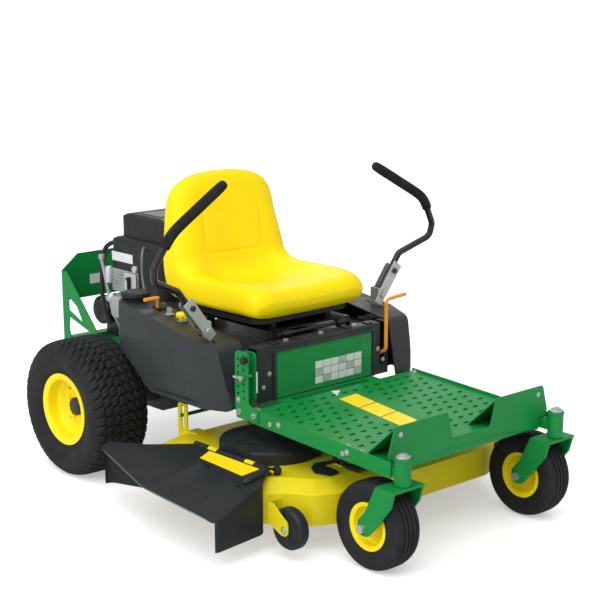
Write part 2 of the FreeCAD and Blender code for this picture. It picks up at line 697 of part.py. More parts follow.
def air_filter_cover():
    x0, x1, y = FILTER_X0, FILTER_X1, FILTER_HALF_Y
    plan = [(x0, -y, 40), (x1, -y, 30), (x1, y, 30), (x0, y, 40)]
    side = [(x0, SHROUD_Z1), (x1, SHROUD_Z1), (x1, FILTER_Z1 - 12, 14), (x1 - 90, FILTER_Z1, 30),
            (x0 + 30, FILTER_Z1, 30), (x0, FILTER_Z1 - 34, 30)]
    end = [(-y, SHROUD_Z1), (y, SHROUD_Z1), (y, FILTER_Z1, HOOD_ROUND), (-y, FILTER_Z1, HOOD_ROUND)]
    form = prism_xz(side, -y, y).common(prism_xy(plan, SHROUD_Z1, FILTER_Z1))
    return form.common(prism_yz(end, x0, x1))


def muffler():
    centre = Vector(MUFFLER_X, -MUFFLER_HALF_Y, MUFFLER_Z)
    can = turned_y([(0, 0), (MUFFLER_R, 0, 12), (MUFFLER_R, 2 * MUFFLER_HALF_Y, 12), (0, 2 * MUFFLER_HALF_Y)],
                   centre)
    outlet = rod(15, Vector(MUFFLER_X - MUFFLER_R + 6, 70, MUFFLER_Z - 10), Vector(-1, 0, -0.35), 52)
    bracket = box(MUFFLER_X - 20, MUFFLER_X + 80, 92, 98, RAIL_TOP + ENGINE_PLATE_T, MUFFLER_Z - 20)
    return fuse([can, outlet] + both_sides(bracket))


def engine_crank():
    shaft = rod(CRANK_R, Vector(CRANK_X, 0, BELT_PLANE_Z - 25), Z_DIR,
                RAIL_TOP + ENGINE_PLATE_T + 20 - BELT_PLANE_Z + 25)
    centre = Vector(CRANK_X, 0, 0)
    traction = turned_z(groove_profile(TRACTION_R, CRANK_R - 1, TRACTION_Z), centre)
    clutch = turned_z([(CRANK_R - 1, 242), (52, 242, 4), (52, 268), (49, 270), (49, 298, 4), (CRANK_R - 1, 298)],
                      centre)
    pto = turned_z(groove_profile(PTO_PULLEY_R, CRANK_R - 1, BELT_PLANE_Z - PULLEY_T / 2), centre)
    return fuse([shaft, traction, clutch, pto])


def transaxle():
    """Left hydrostatic transaxle: ribbed housing, axle horn and the lugs that bolt to the rail."""
    body = prism_xz([(-95, 165, 30), (70, 165, 40), (105, 210, 30), (105, TRANS_TOP, 14), (-95, TRANS_TOP, 14)],
                    TRANS_Y0, TRANS_Y1)
    pieces = [body]
    for x in (-70, -40, -10, 20, 50, 80):
        pieces.append(box(x - 2, x + 2, TRANS_Y0 + 12, TRANS_Y1 - 12, TRANS_TOP - 4, TRANS_TOP + 2))
    pieces.append(rod(TRANS_HORN_R, Vector(0, TRANS_Y1 - 2, AXLE_Z), Y_DIR, TRANS_HORN_END - TRANS_Y1 + 2))
    for x in (-80, 62):
        pieces.append(box(x, x + 24, TRANS_Y1 - 8, RAIL_OUT - 4, RAIL_BOTTOM - 14, RAIL_BOTTOM))
    housing = fuse(pieces)
    housing = housing.cut(rod(AXLE_R + RUN_FIT, Vector(0, TRANS_Y1 - 40, AXLE_Z), Y_DIR, 300))
    return housing.cut(rod(8 + RUN_FIT, Vector(INPUT_X, INPUT_Y, TRANS_TOP - 25), Z_DIR, 40))


def transaxle_input():
    """Left input shaft with its grooved pulley and the cooling fan below it."""
    centre = Vector(INPUT_X, INPUT_Y, 0)
    pieces = [rod(8, Vector(INPUT_X, INPUT_Y, TRANS_TOP - 20), Z_DIR, TRACTION_Z + PULLEY_T + 4 - TRANS_TOP + 20)]
    pieces.append(turned_z(groove_profile(INPUT_R, 7, TRACTION_Z), centre))
    pieces.append(turned_z([(7, TRANS_TOP + 5), (FAN_R, TRANS_TOP + 5), (FAN_R, TRANS_TOP + 7), (7, TRANS_TOP + 7)],
                           centre))
    for i in range(8):
        vane = box(18, FAN_R - 2, -1.2, 1.2, TRANS_TOP + 6, TRACTION_Z - 4)
        vane.rotate(Vector(0, 0, 0), Z_DIR, 45 * i)
        vane.translate(centre)
        pieces.append(vane)
    return fuse(pieces)


def transaxle_belt():
    seat = belt_seat(TRACTION_R)
    return belt([(CRANK_X, 0, seat, 1), (INPUT_X, -INPUT_Y, belt_seat(INPUT_R), 1),
                 (INPUT_X, INPUT_Y, belt_seat(INPUT_R), 1)], TRACTION_Z + PULLEY_T / 2)


# ---- wheels -------------------------------------------------------------------------------------
def tyre(centre, r, half, wall, bead, flange, grooves):
    """Hollow tyre; bead and flange are the (radius, offset) of its seat on the rim's left side."""
    shoulder = r * 0.12
    left = [(r, half - shoulder - 8, 60), (r - shoulder * 0.45, half - 4, 14), (r * 0.74, half, r * 0.12),
            (flange[0] + 1, flange[1] - SEAT_GAP), (bead[0], bead[1] - SEAT_GAP)]
    inside = [(bead[0], bead[1] - wall), (r * 0.72, half - wall, 20), (r - wall - 4, half - wall - shoulder, 20)]
    half_section = left + inside
    # the inner surface comes back on the right side, then the outer one
    right_inside = [(u[0], -u[1]) + u[2:] for u in reversed(inside)]
    right = [(u[0], -u[1]) + u[2:] for u in reversed(left)]
    solid = turned_y(half_section + right_inside + right, centre)
    for offset, width, depth in grooves:
        cutter = turned_y([(r - depth, offset - width / 2), (r + 5, offset - width / 2),
                           (r + 5, offset + width / 2), (r - depth, offset + width / 2)], centre)
        solid = solid.cut(cutter)
    return solid


def rear_tyre():
    centre = Vector(0, REAR_WHEEL_Y, AXLE_Z)
    grooves = [(-52, 8, 5), (-18, 8, 5), (18, 8, 5), (52, 8, 5)]
    bead = (REAR_BEAD_R, REAR_RIM_HALF - 4 - SHEET)
    flange = (REAR_FLANGE_R, REAR_RIM_HALF - SHEET)
    return tyre(centre, REAR_TYRE_R, REAR_TYRE_HALF, REAR_TYRE_WALL, bead, flange, grooves)


def rear_rim():
    """Left rear wheel: welded rim, and the hub with its axle shaft and lug bolts."""
    centre = Vector(0, REAR_WHEEL_Y, AXLE_Z)
    t = SHEET
    half = REAR_RIM_HALF
    bead, drop, disc = REAR_BEAD_R, REAR_DROP_R, REAR_DISC_AT
    face = disc + REAR_DISC_T
    profile = [(REAR_FLANGE_R, half), (REAR_FLANGE_R, half - t), (bead - 0.2, half - 4 - t),
               (bead - 0.2, 50, 6), (drop, 40, 6), (drop, -40, 6), (bead - 0.2, -50, 6),
               (bead - 0.2, -half + 4 + t), (REAR_FLANGE_R, -half + t), (REAR_FLANGE_R, -half),
               (bead - t, -half + 2, 6), (bead - t, -51, 6), (drop - t, -41, 6), (drop - t, disc - 12, 6),
               (drop - 16, disc, 8), (REAR_HUB_HOLE_R, disc), (REAR_HUB_HOLE_R, face), (drop - 14, face, 10),
               (drop - t, face + 12, 8), (drop - t, 41, 6), (bead - t, 51, 6), (bead - t, half - 2, 6)]
    rim = turned_y(profile, centre)
    for i in range(4):
        angle = math.radians(45 + 90 * i)
        spot = centre + Vector(72 * math.cos(angle), disc - 20, 72 * math.sin(angle))
        rim = rim.cut(rod(6, spot, Y_DIR, 50))
    hub_end = REAR_WHEEL_Y + disc - HUB_FLANGE_T
    shaft = rod(AXLE_R, Vector(0, TRANS_Y1 - 30, AXLE_Z), Y_DIR, hub_end - TRANS_Y1 + 30)
    barrel = rod(HUB_R, Vector(0, TRANS_HORN_END + 5, AXLE_Z), Y_DIR, hub_end - TRANS_HORN_END - 5)
    flange = rod(HUB_FLANGE_R, Vector(0, hub_end, AXLE_Z), Y_DIR, HUB_FLANGE_T)
    pilot = rod(REAR_HUB_HOLE_R - SEAT_GAP, Vector(0, hub_end, AXLE_Z), Y_DIR, HUB_FLANGE_T + REAR_DISC_T + 10)
    hub = fuse([shaft, barrel, flange, pilot])
    lugs = []
    for i in range(LUG_COUNT):
        angle = 2 * math.pi * i / LUG_COUNT + math.pi / 2
        spot = centre + Vector(LUG_CIRCLE_R * math.cos(angle), face, LUG_CIRCLE_R * math.sin(angle))
        lugs.append(hex_head(spot, Y_DIR, LUG_R, LUG_H))
    return [rim, hub] + lugs


def hex_head(spot, direction, r, height):
    """Hexagon head whose seat is at spot; r is the corner radius."""
    u = direction.cross(X_DIR if abs(direction.x) < 0.9 else Z_DIR).normalize()
    v = direction.cross(u)
    corners = []
    for i in range(7):
        angle = math.pi / 3 * i
        corners.append(spot + u * (r * math.cos(angle)) + v * (r * math.sin(angle)))
    return Part.Face(Part.makePolygon(corners)).extrude(direction * height)


def caster_fork():
    """Left fork: bent plate over the tyre, with the stem welded to its top."""
    leg = [(PIVOT_X - 46, FORK_PLATE_Z + FORK_SHEET, 6), (PIVOT_X - 84, CASTER_Z + 56, 20),
           (WHEELBASE - 18, CASTER_Z + 22, 10), (WHEELBASE - 20, CASTER_Z - 20, 16),
           (WHEELBASE + 20, CASTER_Z - 22, 18), (PIVOT_X - 32, CASTER_Z + 28, 20),
           (PIVOT_X + 12, CASTER_Z + 84, 20), (PIVOT_X + 26, FORK_PLATE_Z + FORK_SHEET, 6)]
    inner = CASTER_TYRE_HALF + FORK_CLEAR
    outer = inner + FORK_SHEET
    legs = []
    for side in (1, -1):
        y = CASTER_Y + side * inner
        low, high = min(y, y + side * FORK_SHEET), max(y, y + side * FORK_SHEET)
        legs.append(prism_xz(leg, low, high))
    plate = box(PIVOT_X - 46, PIVOT_X + 26, CASTER_Y - outer, CASTER_Y + outer, FORK_PLATE_Z,
                FORK_PLATE_Z + FORK_SHEET)
    stem_z = FORK_PLATE_Z + FORK_SHEET
    stem = rod(STEM_R, Vector(PIVOT_X, CASTER_Y, stem_z - 1), Z_DIR, PIVOT_TUBE_Z + PIVOT_TUBE_H - stem_z + 1)
    washer = rod(CAP_R, Vector(PIVOT_X, CASTER_Y, stem_z - 1), Z_DIR, PIVOT_TUBE_Z - SEAT_GAP - stem_z + 1)
    fork = fuse(legs + [plate, stem, washer])
    return fork.cut(rod(CASTER_AXLE_R + RUN_FIT, Vector(WHEELBASE, CASTER_Y - outer - 1, CASTER_Z), Y_DIR,
                        2 * outer + 2))


def caster_hardware():
    """Left axle bolt with its nut, and the dust cap over the pivot tube."""
    outer = CASTER_TYRE_HALF + FORK_CLEAR + FORK_SHEET
    start = Vector(WHEELBASE, CASTER_Y - outer, CASTER_Z)
    bolt = rod(CASTER_AXLE_R, start, Y_DIR, 2 * outer)
    head = hex_head(start, Y_DIR * -1, 14, 9)
    nut = hex_head(start + Y_DIR * (2 * outer), Y_DIR, 14, 12)
    cap_z = PIVOT_TUBE_Z + PIVOT_TUBE_H
    cap = turned_z([(0, 0), (CAP_R, 0), (CAP_R, CAP_H - 2, 2), (CAP_R - 6, CAP_H, 2), (0, CAP_H)],
                   Vector(PIVOT_X, CASTER_Y, cap_z + SEAT_GAP))
    return [fuse([bolt, head, nut]), cap]


def caster_tyre():
    centre = Vector(WHEELBASE, CASTER_Y, CASTER_Z)
    grooves = [(-24, 4, 4), (-8, 4, 4), (8, 4, 4), (24, 4, 4)]
    bead = (CASTER_RIM_R, CASTER_RIM_HALF - 3)
    flange = (CASTER_FLANGE_R, CASTER_RIM_HALF)
    return tyre(centre, CASTER_TYRE_R, CASTER_TYRE_HALF, CASTER_TYRE_WALL, bead, flange, grooves)


def caster_rim():
    half = CASTER_RIM_HALF
    hub_half = CASTER_TYRE_HALF + FORK_CLEAR - SEAT_GAP
    r = CASTER_RIM_R - 0.2
    profile = [(CASTER_FLANGE_R, half), (r, half - 3), (r, -half + 3), (CASTER_FLANGE_R, -half),
               (r - 5, -half + 1, 4), (r - 7, -16, 10), (CASTER_HUB_R, -8, 6), (CASTER_HUB_R, -hub_half, 2),
               (CASTER_AXLE_R + RUN_FIT, -hub_half), (CASTER_AXLE_R + RUN_FIT, hub_half),
               (CASTER_HUB_R, hub_half, 2), (CASTER_HUB_R, 8, 6), (r - 7, 16, 10), (r - 5, half - 1, 4)]
    return turned_y(profile, Vector(WHEELBASE, CASTER_Y, CASTER_Z))


# ---- mowing deck --------------------------------------------------------------------------------
def deck_outline():
    """Plan of the shell, counter-clockwise seen from above."""
    left = [(DECK_FRONT, 325, 70), (DECK_FRONT - 33, 400, 60), (DECK_FRONT - 98, 440, 40),
            (DECK_FRONT - 178, DECK_HALF - 11, 60), (DECK_FRONT - 230, DECK_HALF, 60),
            (DECK_REAR + 110, DECK_HALF, 70), (DECK_REAR, 410, 80)]
    right = [(x, -y, r) for x, y, r in reversed(left)]
    return left + right


def deck_form(depth):
    """Solid form of the deck, moved inward by depth: a skirt with a sloping apron above it."""
    outline = inset(deck_outline(), depth)
    low = DECK_Z0 - depth * 2
    crease = DECK_CREASE_Z - depth * 0.3
    skirt = prism_xy(outline, low, crease)
    top_outline = inset(outline, DECK_APRON)
    base = rounded(outline, lambda u, v: Vector(u, v, crease))
    crown = rounded(top_outline, lambda u, v: Vector(u, v, DECK_TOP_Z - depth))
    apron = Part.makeLoft([base, crown], True, True)
    return skirt.fuse(apron)


def mower_deck():
    shell = deck_form(0).cut(deck_form(SHEET))
    mouth = box(CHUTE_MOUTH_X0, CHUTE_MOUTH_X1, -DECK_HALF - 10, -DECK_HALF + 45, DECK_Z0 - 10, MOUTH_TOP_Z)
    shell = shell.cut(mouth)
    for y in (SPINDLE_Y, -SPINDLE_Y):
        shell = shell.cut(rod(HOUSING_R + SEAT_GAP, Vector(SPINDLE_X, y, DECK_Z0), Z_DIR, 200))
    return shell


def spindle_housings():
    """Bearing housings bolted on the deck, and the belt's two idlers on their posts."""
    pieces = []
    for y in (SPINDLE_Y, -SPINDLE_Y):
        profile = [(SPINDLE_R + RUN_FIT, BLADE_Z + 24), (HOUSING_R - 8, BLADE_Z + 24), (HOUSING_R, DECK_TOP_Z - 30),
                   (HOUSING_R, DECK_TOP_Z), (HOUSING_FLANGE_R, DECK_TOP_Z), (HOUSING_FLANGE_R, DECK_TOP_Z + 6, 2),
                   (SPINDLE_R + RUN_FIT, DECK_TOP_Z + 6)]
        pieces.append(turned_z(profile, Vector(SPINDLE_X, y, 0)))
    for y in (1, -1):
        centre = Vector(IDLER_X, y * idler_y(), 0)
        post = rod(8, Vector(centre.x, centre.y, DECK_TOP_Z), Z_DIR, BELT_PLANE_Z + 12 - DECK_TOP_Z)
        wheel = turned_z([(7, BELT_PLANE_Z - 9), (IDLER_R + 3, BELT_PLANE_Z - 9), (IDLER_R, BELT_PLANE_Z - 6),
                          (IDLER_R, BELT_PLANE_Z + 6), (IDLER_R + 3, BELT_PLANE_Z + 9), (7, BELT_PLANE_Z + 9)],
                         centre)
        pieces.append(fuse([post, wheel]))
    return pieces


def idler_y():
    """The idlers press on the belt's back from outside, so its two runs stay parallel."""
    return belt_seat(PTO_PULLEY_R) + BELT_W + SEAT_GAP + IDLER_R


def mower_belt():
    engine = (CRANK_X, 0, belt_seat(PTO_PULLEY_R), 1)
    spindle_r = belt_seat(SPINDLE_PULLEY_R)
    guide = IDLER_R + SEAT_GAP
    return belt([engine, (IDLER_X, -idler_y(), guide, -1), (SPINDLE_X, -SPINDLE_Y, spindle_r, 1),
                 (SPINDLE_X, SPINDLE_Y, spindle_r, 1), (IDLER_X, idler_y(), guide, -1)], BELT_PLANE_Z)


def blade_spindle():
    """Left spindle: shaft, grooved pulley and the bolt head below the blade."""
    z_top = BELT_PLANE_Z + PULLEY_T / 2 + 10
    shaft = rod(SPINDLE_R, Vector(SPINDLE_X, SPINDLE_Y, BLADE_Z + BLADE_T), Z_DIR, z_top - BLADE_Z - BLADE_T)
    collar = rod(22, Vector(SPINDLE_X, SPINDLE_Y, BLADE_Z + BLADE_T), Z_DIR, 18)
    pulley = turned_z(groove_profile(SPINDLE_PULLEY_R, SPINDLE_R - 1, BELT_PLANE_Z - PULLEY_T / 2),
                      Vector(SPINDLE_X, SPINDLE_Y, 0))
    return fuse([shaft, collar, pulley])


def mower_blade():
    """Left blade: flat bar with ground cutting edges and raised sails at its two ends."""
    half = BLADE_W / 2
    section = [(-half, BLADE_Z + 1), (-half + 16, BLADE_Z), (half, BLADE_Z), (half, BLADE_Z + BLADE_T),
               (-half + 16, BLADE_Z + BLADE_T)]
    sail = [(half - 10, BLADE_Z), (half, BLADE_Z + 1), (half + 8, BLADE_Z + 20), (half + 4, BLADE_Z + 21),
            (half - 6, BLADE_Z + BLADE_T), (half - 10, BLADE_Z + BLADE_T)]
    arm = prism_xz(section, 0, BLADE_R - 6)
    tip = prism_xz(sail, BLADE_R - 96, BLADE_R - 12)
    pieces = [arm, tip]
    for piece in (arm, tip):
        turned = piece.copy()
        turned.rotate(Vector(0, 0, 0), Z_DIR, 180)
        pieces.append(turned)
    middle = box(-half + 16, half - 16, -20, 20, BLADE_Z, BLADE_Z + BLADE_T)
    bar = fuse(pieces + [middle])
    bolt = hex_head(Vector(0, 0, BLADE_Z), Z_DIR * -1, 15, 11)
    blade = bar.fuse(bolt)
    blade.rotate(Vector(0, 0, 0), Z_DIR, 35)
    blade.translate(Vector(SPINDLE_X, SPINDLE_Y, 0))
    return blade


def belt_covers():
    """Two moulded drums over the spindle pulleys, open to the belt on their inner rear side."""
    def drum(grow):
        profile = [(0, DECK_TOP_Z - 10), (COVER_R - grow, DECK_TOP_Z - 10), (COVER_R - grow, COVER_TOP_Z - 8 - grow, 10),
                   (COVER_R - 40, COVER_TOP_Z - grow, 20), (0, COVER_TOP_Z - grow)]
        solid = turned_z(profile, Vector(SPINDLE_X, SPINDLE_Y, 0))
        limit = COVER_OUTER_Y - grow
        return solid.common(box(0, 2000, SPINDLE_Y - COVER_R, limit, DECK_TOP_Z + SEAT_GAP - grow, COVER_TOP_Z))
    shell = drum(0).cut(drum(MOULD))
    slot = box(SPINDLE_X - COVER_R - 5, SPINDLE_X - 30, SPINDLE_Y - COVER_R - 5, SPINDLE_Y + 20,
               DECK_TOP_Z - 12, BELT_PLANE_Z + 12)
    run = box(SPINDLE_X - 30, SPINDLE_X + SPINDLE_PULLEY_R + 20, SPINDLE_Y - COVER_R - 5, SPINDLE_Y - 90,
              DECK_TOP_Z - 12, BELT_PLANE_Z + 12)
    return both_sides(shell.cut(slot).cut(run))


def hanger(x, y):
    """Upright plate on the deck with the slot in which a pin of the frame guides it."""
    r = LIFT_PIN_R + SEAT_GAP
    low = LIFT_PIN_Z - DECK_UP
    high = LIFT_PIN_Z + DECK_DOWN
    top = high + HANGER_ABOVE
    plate = prism_xz([(x - HANGER_HALF, DECK_CREASE_Z), (x + HANGER_HALF, DECK_CREASE_Z), (x + HANGER_HALF, top, 8),
                      (x - HANGER_HALF, top, 8)], y, y + HANGER_SHEET)
    slot = prism_xz([(x - r, low - r, r - 0.01), (x + r, low - r, r - 0.01), (x + r, high + r, r - 0.01),
                     (x - r, high + r, r - 0.01)], y - 1, y + HANGER_SHEET + 1)
    return plate.cut(slot)


def deck_brackets():
    """Rear and front hangers, the brackets of the anti-scalp wheels and the chute's hinge lugs."""
    rear = hanger(REAR_PIN_X, HANGER_Y)
    foot_z = DECK_TOP_Z + HANGER_FOOT
    rear_foot = box(REAR_PIN_X + HANGER_HALF, REAR_PIN_X + 70, HANGER_Y - 40, HANGER_Y, DECK_CREASE_Z, foot_z)
    rear_tab = box(REAR_PIN_X - 20, REAR_PIN_X + 70, HANGER_Y, HANGER_Y + HANGER_SHEET, DECK_CREASE_Z, foot_z)
    rear_foot = rear_foot.fuse(rear_tab)
    foot_y = RAIL_OUT + 8
    front = hanger(FRONT_PIN_X, foot_y)
    front_foot = box(FRONT_PIN_X - HANGER_HALF, FRONT_PIN_X + HANGER_HALF, foot_y, foot_y + 34, DECK_CREASE_Z, foot_z)
    shell = deck_form(0)
    pieces = []
    for bracket in (rear.fuse(rear_foot), front.fuse(front_foot), scalp_bracket()):
        pieces += both_sides(bracket.cut(shell))
    return pieces + [chute_lugs().cut(shell)]


def scalp_bracket():
    """Left anti-scalp bracket: outer plate, the web that joins it to the shell, and the axle pin."""
    y0 = SCALP_Y + SCALP_HALF + 3
    web_x = SCALP_X - SCALP_R - 8
    plate = prism_xz([(web_x, DECK_CREASE_Z - 12, 6), (web_x, DECK_Z0 + 20), (SCALP_X - 14, SCALP_Z - 18, 12),
                      (SCALP_X + 16, SCALP_Z - 18, 14), (SCALP_X + 16, SCALP_Z + 24, 16),
                      (web_x + 22, DECK_CREASE_Z - 12, 8)], y0, y0 + FLOOR_T)
    web = box(web_x, web_x + FLOOR_T, SCALP_Y - SCALP_R, y0 + 1, DECK_Z0 + 20, DECK_CREASE_Z - 12)
    pin = rod(SCALP_PIN_R, Vector(SCALP_X, SCALP_Y - SCALP_HALF - 6, SCALP_Z), Y_DIR, y0 + 1 - SCALP_Y + SCALP_HALF + 6)
    head = rod(SCALP_PIN_R + 4, Vector(SCALP_X, SCALP_Y - SCALP_HALF - 6, SCALP_Z), Y_DIR, 3)
    return fuse([plate, web, pin, head])


def scalp_wheel():
    hub = SCALP_PIN_R + RUN_FIT
    profile = [(hub, -SCALP_HALF), (SCALP_R - 22, -SCALP_HALF + 4, 4), (SCALP_R - 6, -SCALP_HALF, 6),
               (SCALP_R, -SCALP_HALF + 9, 6), (SCALP_R, SCALP_HALF - 9, 6), (SCALP_R - 6, SCALP_HALF, 6),
               (SCALP_R - 22, SCALP_HALF - 4, 4), (hub, SCALP_HALF)]
    return turned_y(profile, Vector(SCALP_X, SCALP_Y, SCALP_Z))


def barrel(x0, x1, bore):
    """Hinge knuckle about the chute's axis between x0 and x1."""
    start = Vector(x0, CHUTE_HINGE_Y, CHUTE_HINGE_Z)
    solid = rod(CHUTE_BARREL_R, start, X_DIR, x1 - x0)
    return solid.cut(rod(bore, start - X_DIR, X_DIR, x1 - x0 + 2)) if bore else solid


def chute_lugs():
    """Hinge rod and its two lugs, which stand on the deck beside the chute's knuckles."""
    pieces = [rod(CHUTE_ROD_R, Vector(CHUTE_HINGE_X0 - 12, CHUTE_HINGE_Y, CHUTE_HINGE_Z), X_DIR,
                  CHUTE_HINGE_X1 - CHUTE_HINGE_X0 + 24)]
    for x in (CHUTE_HINGE_X0 + 70, CHUTE_HINGE_X1 - 110):
        pieces.append(barrel(x, x + 40, 0))
        pieces.append(box(x, x + 40, CHUTE_HINGE_Y - 4, CHUTE_HINGE_Y + 16, DECK_TOP_Z - 1.5, CHUTE_HINGE_Z))
    return fuse(pieces)


def chute_fall(y):
    """Height of the chute's top at y: it falls evenly from the hinge to the outer edge."""
    start = CHUTE_HINGE_Y - CHUTE_BARREL_R
    share = (y - start) / (CHUTE_OUTER_Y - start)
    return CHUTE_HINGE_Z + 4 - share * (CHUTE_HINGE_Z + 4 - CHUTE_OUTER_Z)


def chute_form(grow, extra):
    """Solid under the chute's top, moved inward by grow and run on past both open sides by extra."""
    inner = CHUTE_HINGE_Y - CHUTE_BARREL_R
    outer = CHUTE_OUTER_Y - extra
    tail, nose = CHUTE_HINGE_X0 - CHUTE_TAIL + grow, CHUTE_HINGE_X1 + CHUTE_NOSE - grow
    plan = [(CHUTE_HINGE_X0 + grow, inner + extra), (CHUTE_HINGE_X0 - 130 + grow, inner - 80, 40),
            (tail, CHUTE_OUTER_Y + 137, 30), (tail + 22, outer + 100, 30), (SPINDLE_X - 100, outer + 22, 300),
            (nose, outer, 14), (nose - 25, inner - 76, 40), (CHUTE_HINGE_X1 - grow, inner + extra)]
    plan.reverse()
    y_in, y_out = inner + extra, CHUTE_OUTER_Y - extra
    bottom = CHUTE_BOTTOM_Z - 3 * grow
    section = [(y_out, bottom), (y_in, bottom), (y_in, chute_fall(y_in) - grow),
               ((y_in + y_out) / 2, chute_fall((y_in + y_out) / 2) + 10 - grow, 400),
               (y_out, chute_fall(y_out) - grow)]
    top = prism_yz(section, tail - 20, nose + 20)
    return top.common(prism_xy(plan, bottom - 1, CHUTE_HINGE_Z + 40))


def discharge_chute():
    """Moulded deflector: a falling top with a wall at its front and its rear, open to the side."""
    pieces = [chute_form(0, 0).cut(chute_form(MOULD, 30))]
    for x0, x1 in ((CHUTE_HINGE_X0, CHUTE_HINGE_X0 + 68), (CHUTE_HINGE_X0 + 112, CHUTE_HINGE_X1 - 112),
                   (CHUTE_HINGE_X1 - 68, CHUTE_HINGE_X1)):
        pieces.append(barrel(x0, x1, CHUTE_ROD_R + RUN_FIT))
        pieces.append(box(x0, x1, CHUTE_HINGE_Y - 20, CHUTE_HINGE_Y - CHUTE_ROD_R - 2, CHUTE_HINGE_Z - 1,
                          CHUTE_HINGE_Z + 3))
    return fuse(pieces)


# ---- pods and panels ----------------------------------------------------------------------------
def pod_top_z(x):
    """Height of the pods' sloping top at x."""
    slope = (POD_TOP_REAR_Z - POD_TOP_FRONT_Z) / (POD_FRONT_LEFT - 45 - POD_TOP_REAR_X)
    return POD_TOP_REAR_Z - (x - POD_TOP_REAR_X) * slope


def pod_plan(front, grow, inner_y):
    """Outline of the left pod seen from above, moved inward by grow."""
    outer = POD_OUT_Y - grow
    return [(POD_REAR_X, inner_y), (front - grow, inner_y), (front - grow, outer - 55, 45), (560, outer, 300),
            (POD_TOP_REAR_X - 20 + grow, outer, 60), (POD_REAR_X + grow, inner_y + 40, 60)]


def pod_form(front, grow, low, inner_y):
    """Left pod as a solid, moved inward by grow, ending at x = front."""
    g = grow
    top_front = front - 45
    side = [(POD_REAR_X + g, pod_top_z(POD_REAR_X) - g, 25), (POD_REAR_X + 12 + g, 515, 50),
            (318 + g, low, 45), (front - g, low, 16), (top_front - g, pod_top_z(top_front) - g, 30)]
    outer = POD_OUT_Y - g
    bevel = [(inner_y, low - 10), (outer - POD_LEAN, low - 10), (outer, POD_CREASE_Z - g, 6),
             (outer - POD_BEVEL, 640), (inner_y, 640)]
    form = prism_xz(side, inner_y, POD_OUT_Y).common(prism_xy(pod_plan(front, g, inner_y), low - 20, 640))
    return form.common(prism_yz(bevel, POD_REAR_X - 10, front))


def pod(front):
    """Hollow moulded cover of the left side; the seat deck's edge stands on its bottom flange."""
    shell = pod_form(front, 0, POD_BOTTOM_Z, POD_IN_Y)
    core = pod_form(front, MOULD, POD_BOTTOM_Z - 12, POD_IN_Y - 8)
    shell = shell.cut(core)
    slot_top = pod_top_z(ARM_X)
    slot = box(ARM_X - ARM_HALF - 22, ARM_X + ARM_HALF + 24, ARM_WEB_Y - 2, ARM_WEB_Y + ARM_SHEET + 2,
               slot_top - 30, slot_top + 40)
    flange = prism_xy(pod_plan(front, 0, POD_IN_Y - POD_FLANGE_IN), RAIL_TOP - MOULD, RAIL_TOP)
    flange = flange.common(box(POD_FLANGE_X, SEAT_DECK_X1, 0, POD_OUT_Y, 0, RAIL_TOP))
    return shell.cut(slot).fuse(flange)


def pod_left():
    return pod(POD_FRONT_LEFT)


def pod_right():
    """The right pod is shorter, and carries the filler neck and the controls."""
    shell = mirror(pod(POD_FRONT_RIGHT))
    neck = rod(FUEL_NECK_R + SEAT_GAP, Vector(FUEL_CAP_X, FUEL_CAP_Y, POD_TOP_REAR_Z - 60), Z_DIR, 100)
    shell = shell.cut(neck)
    slot = box(THROTTLE_X - 22, THROTTLE_X + 22, THROTTLE_Y - 5, THROTTLE_Y + 5, 560, 640)
    shell = shell.cut(slot)
    for x, y, r in ((PTO_X, PTO_Y, 8 + RUN_FIT), (KEY_X, KEY_Y, 9 + RUN_FIT)):
        shell = shell.cut(rod(r, Vector(x, y, 500), Z_DIR, 120))
    lug_y = THROTTLE_Y + THROTTLE_HUB_HALF + SEAT_GAP
    lug = box(THROTTLE_X - 10, THROTTLE_X + 10, lug_y, lug_y + MOULD, throttle_pivot_z() - 10,
              pod_top_z(THROTTLE_X) - 1)
    pin = rod(THROTTLE_PIN_R, Vector(THROTTLE_X, lug_y + 1, throttle_pivot_z()), Y_DIR * -1,
              2 * THROTTLE_HUB_HALF + 4)
    return fuse([shell, lug, pin])


def fuel_tank():
    """Tank inside the right pod, with its filler neck coming through the pod's top."""
    clear = MOULD + 8
    inside = mirror(pod_form(POD_FRONT_RIGHT, clear, POD_BOTTOM_Z + 30, POD_IN_Y + 6))
    tank = inside.common(box(POD_REAR_X, TANK_FRONT_X, -POD_OUT_Y, -POD_IN_Y, TANK_Z0, TANK_Z1))
    neck = rod(FUEL_NECK_R, Vector(FUEL_CAP_X, FUEL_CAP_Y, TANK_Z1 - 10), Z_DIR,
               pod_top_z(FUEL_CAP_X) + 8 - TANK_Z1 + 10)
    return tank.fuse(neck)


def fuel_cap():
    base = pod_top_z(FUEL_CAP_X) + 8 + SEAT_GAP
    profile = [(0, base), (FUEL_CAP_R - 5, base), (FUEL_CAP_R, base + 5, 2), (FUEL_CAP_R, base + 17, 5),
               (FUEL_CAP_R - 12, base + 21, 6), (0, base + 21)]
    return turned_z(profile, Vector(FUEL_CAP_X, FUEL_CAP_Y, 0))


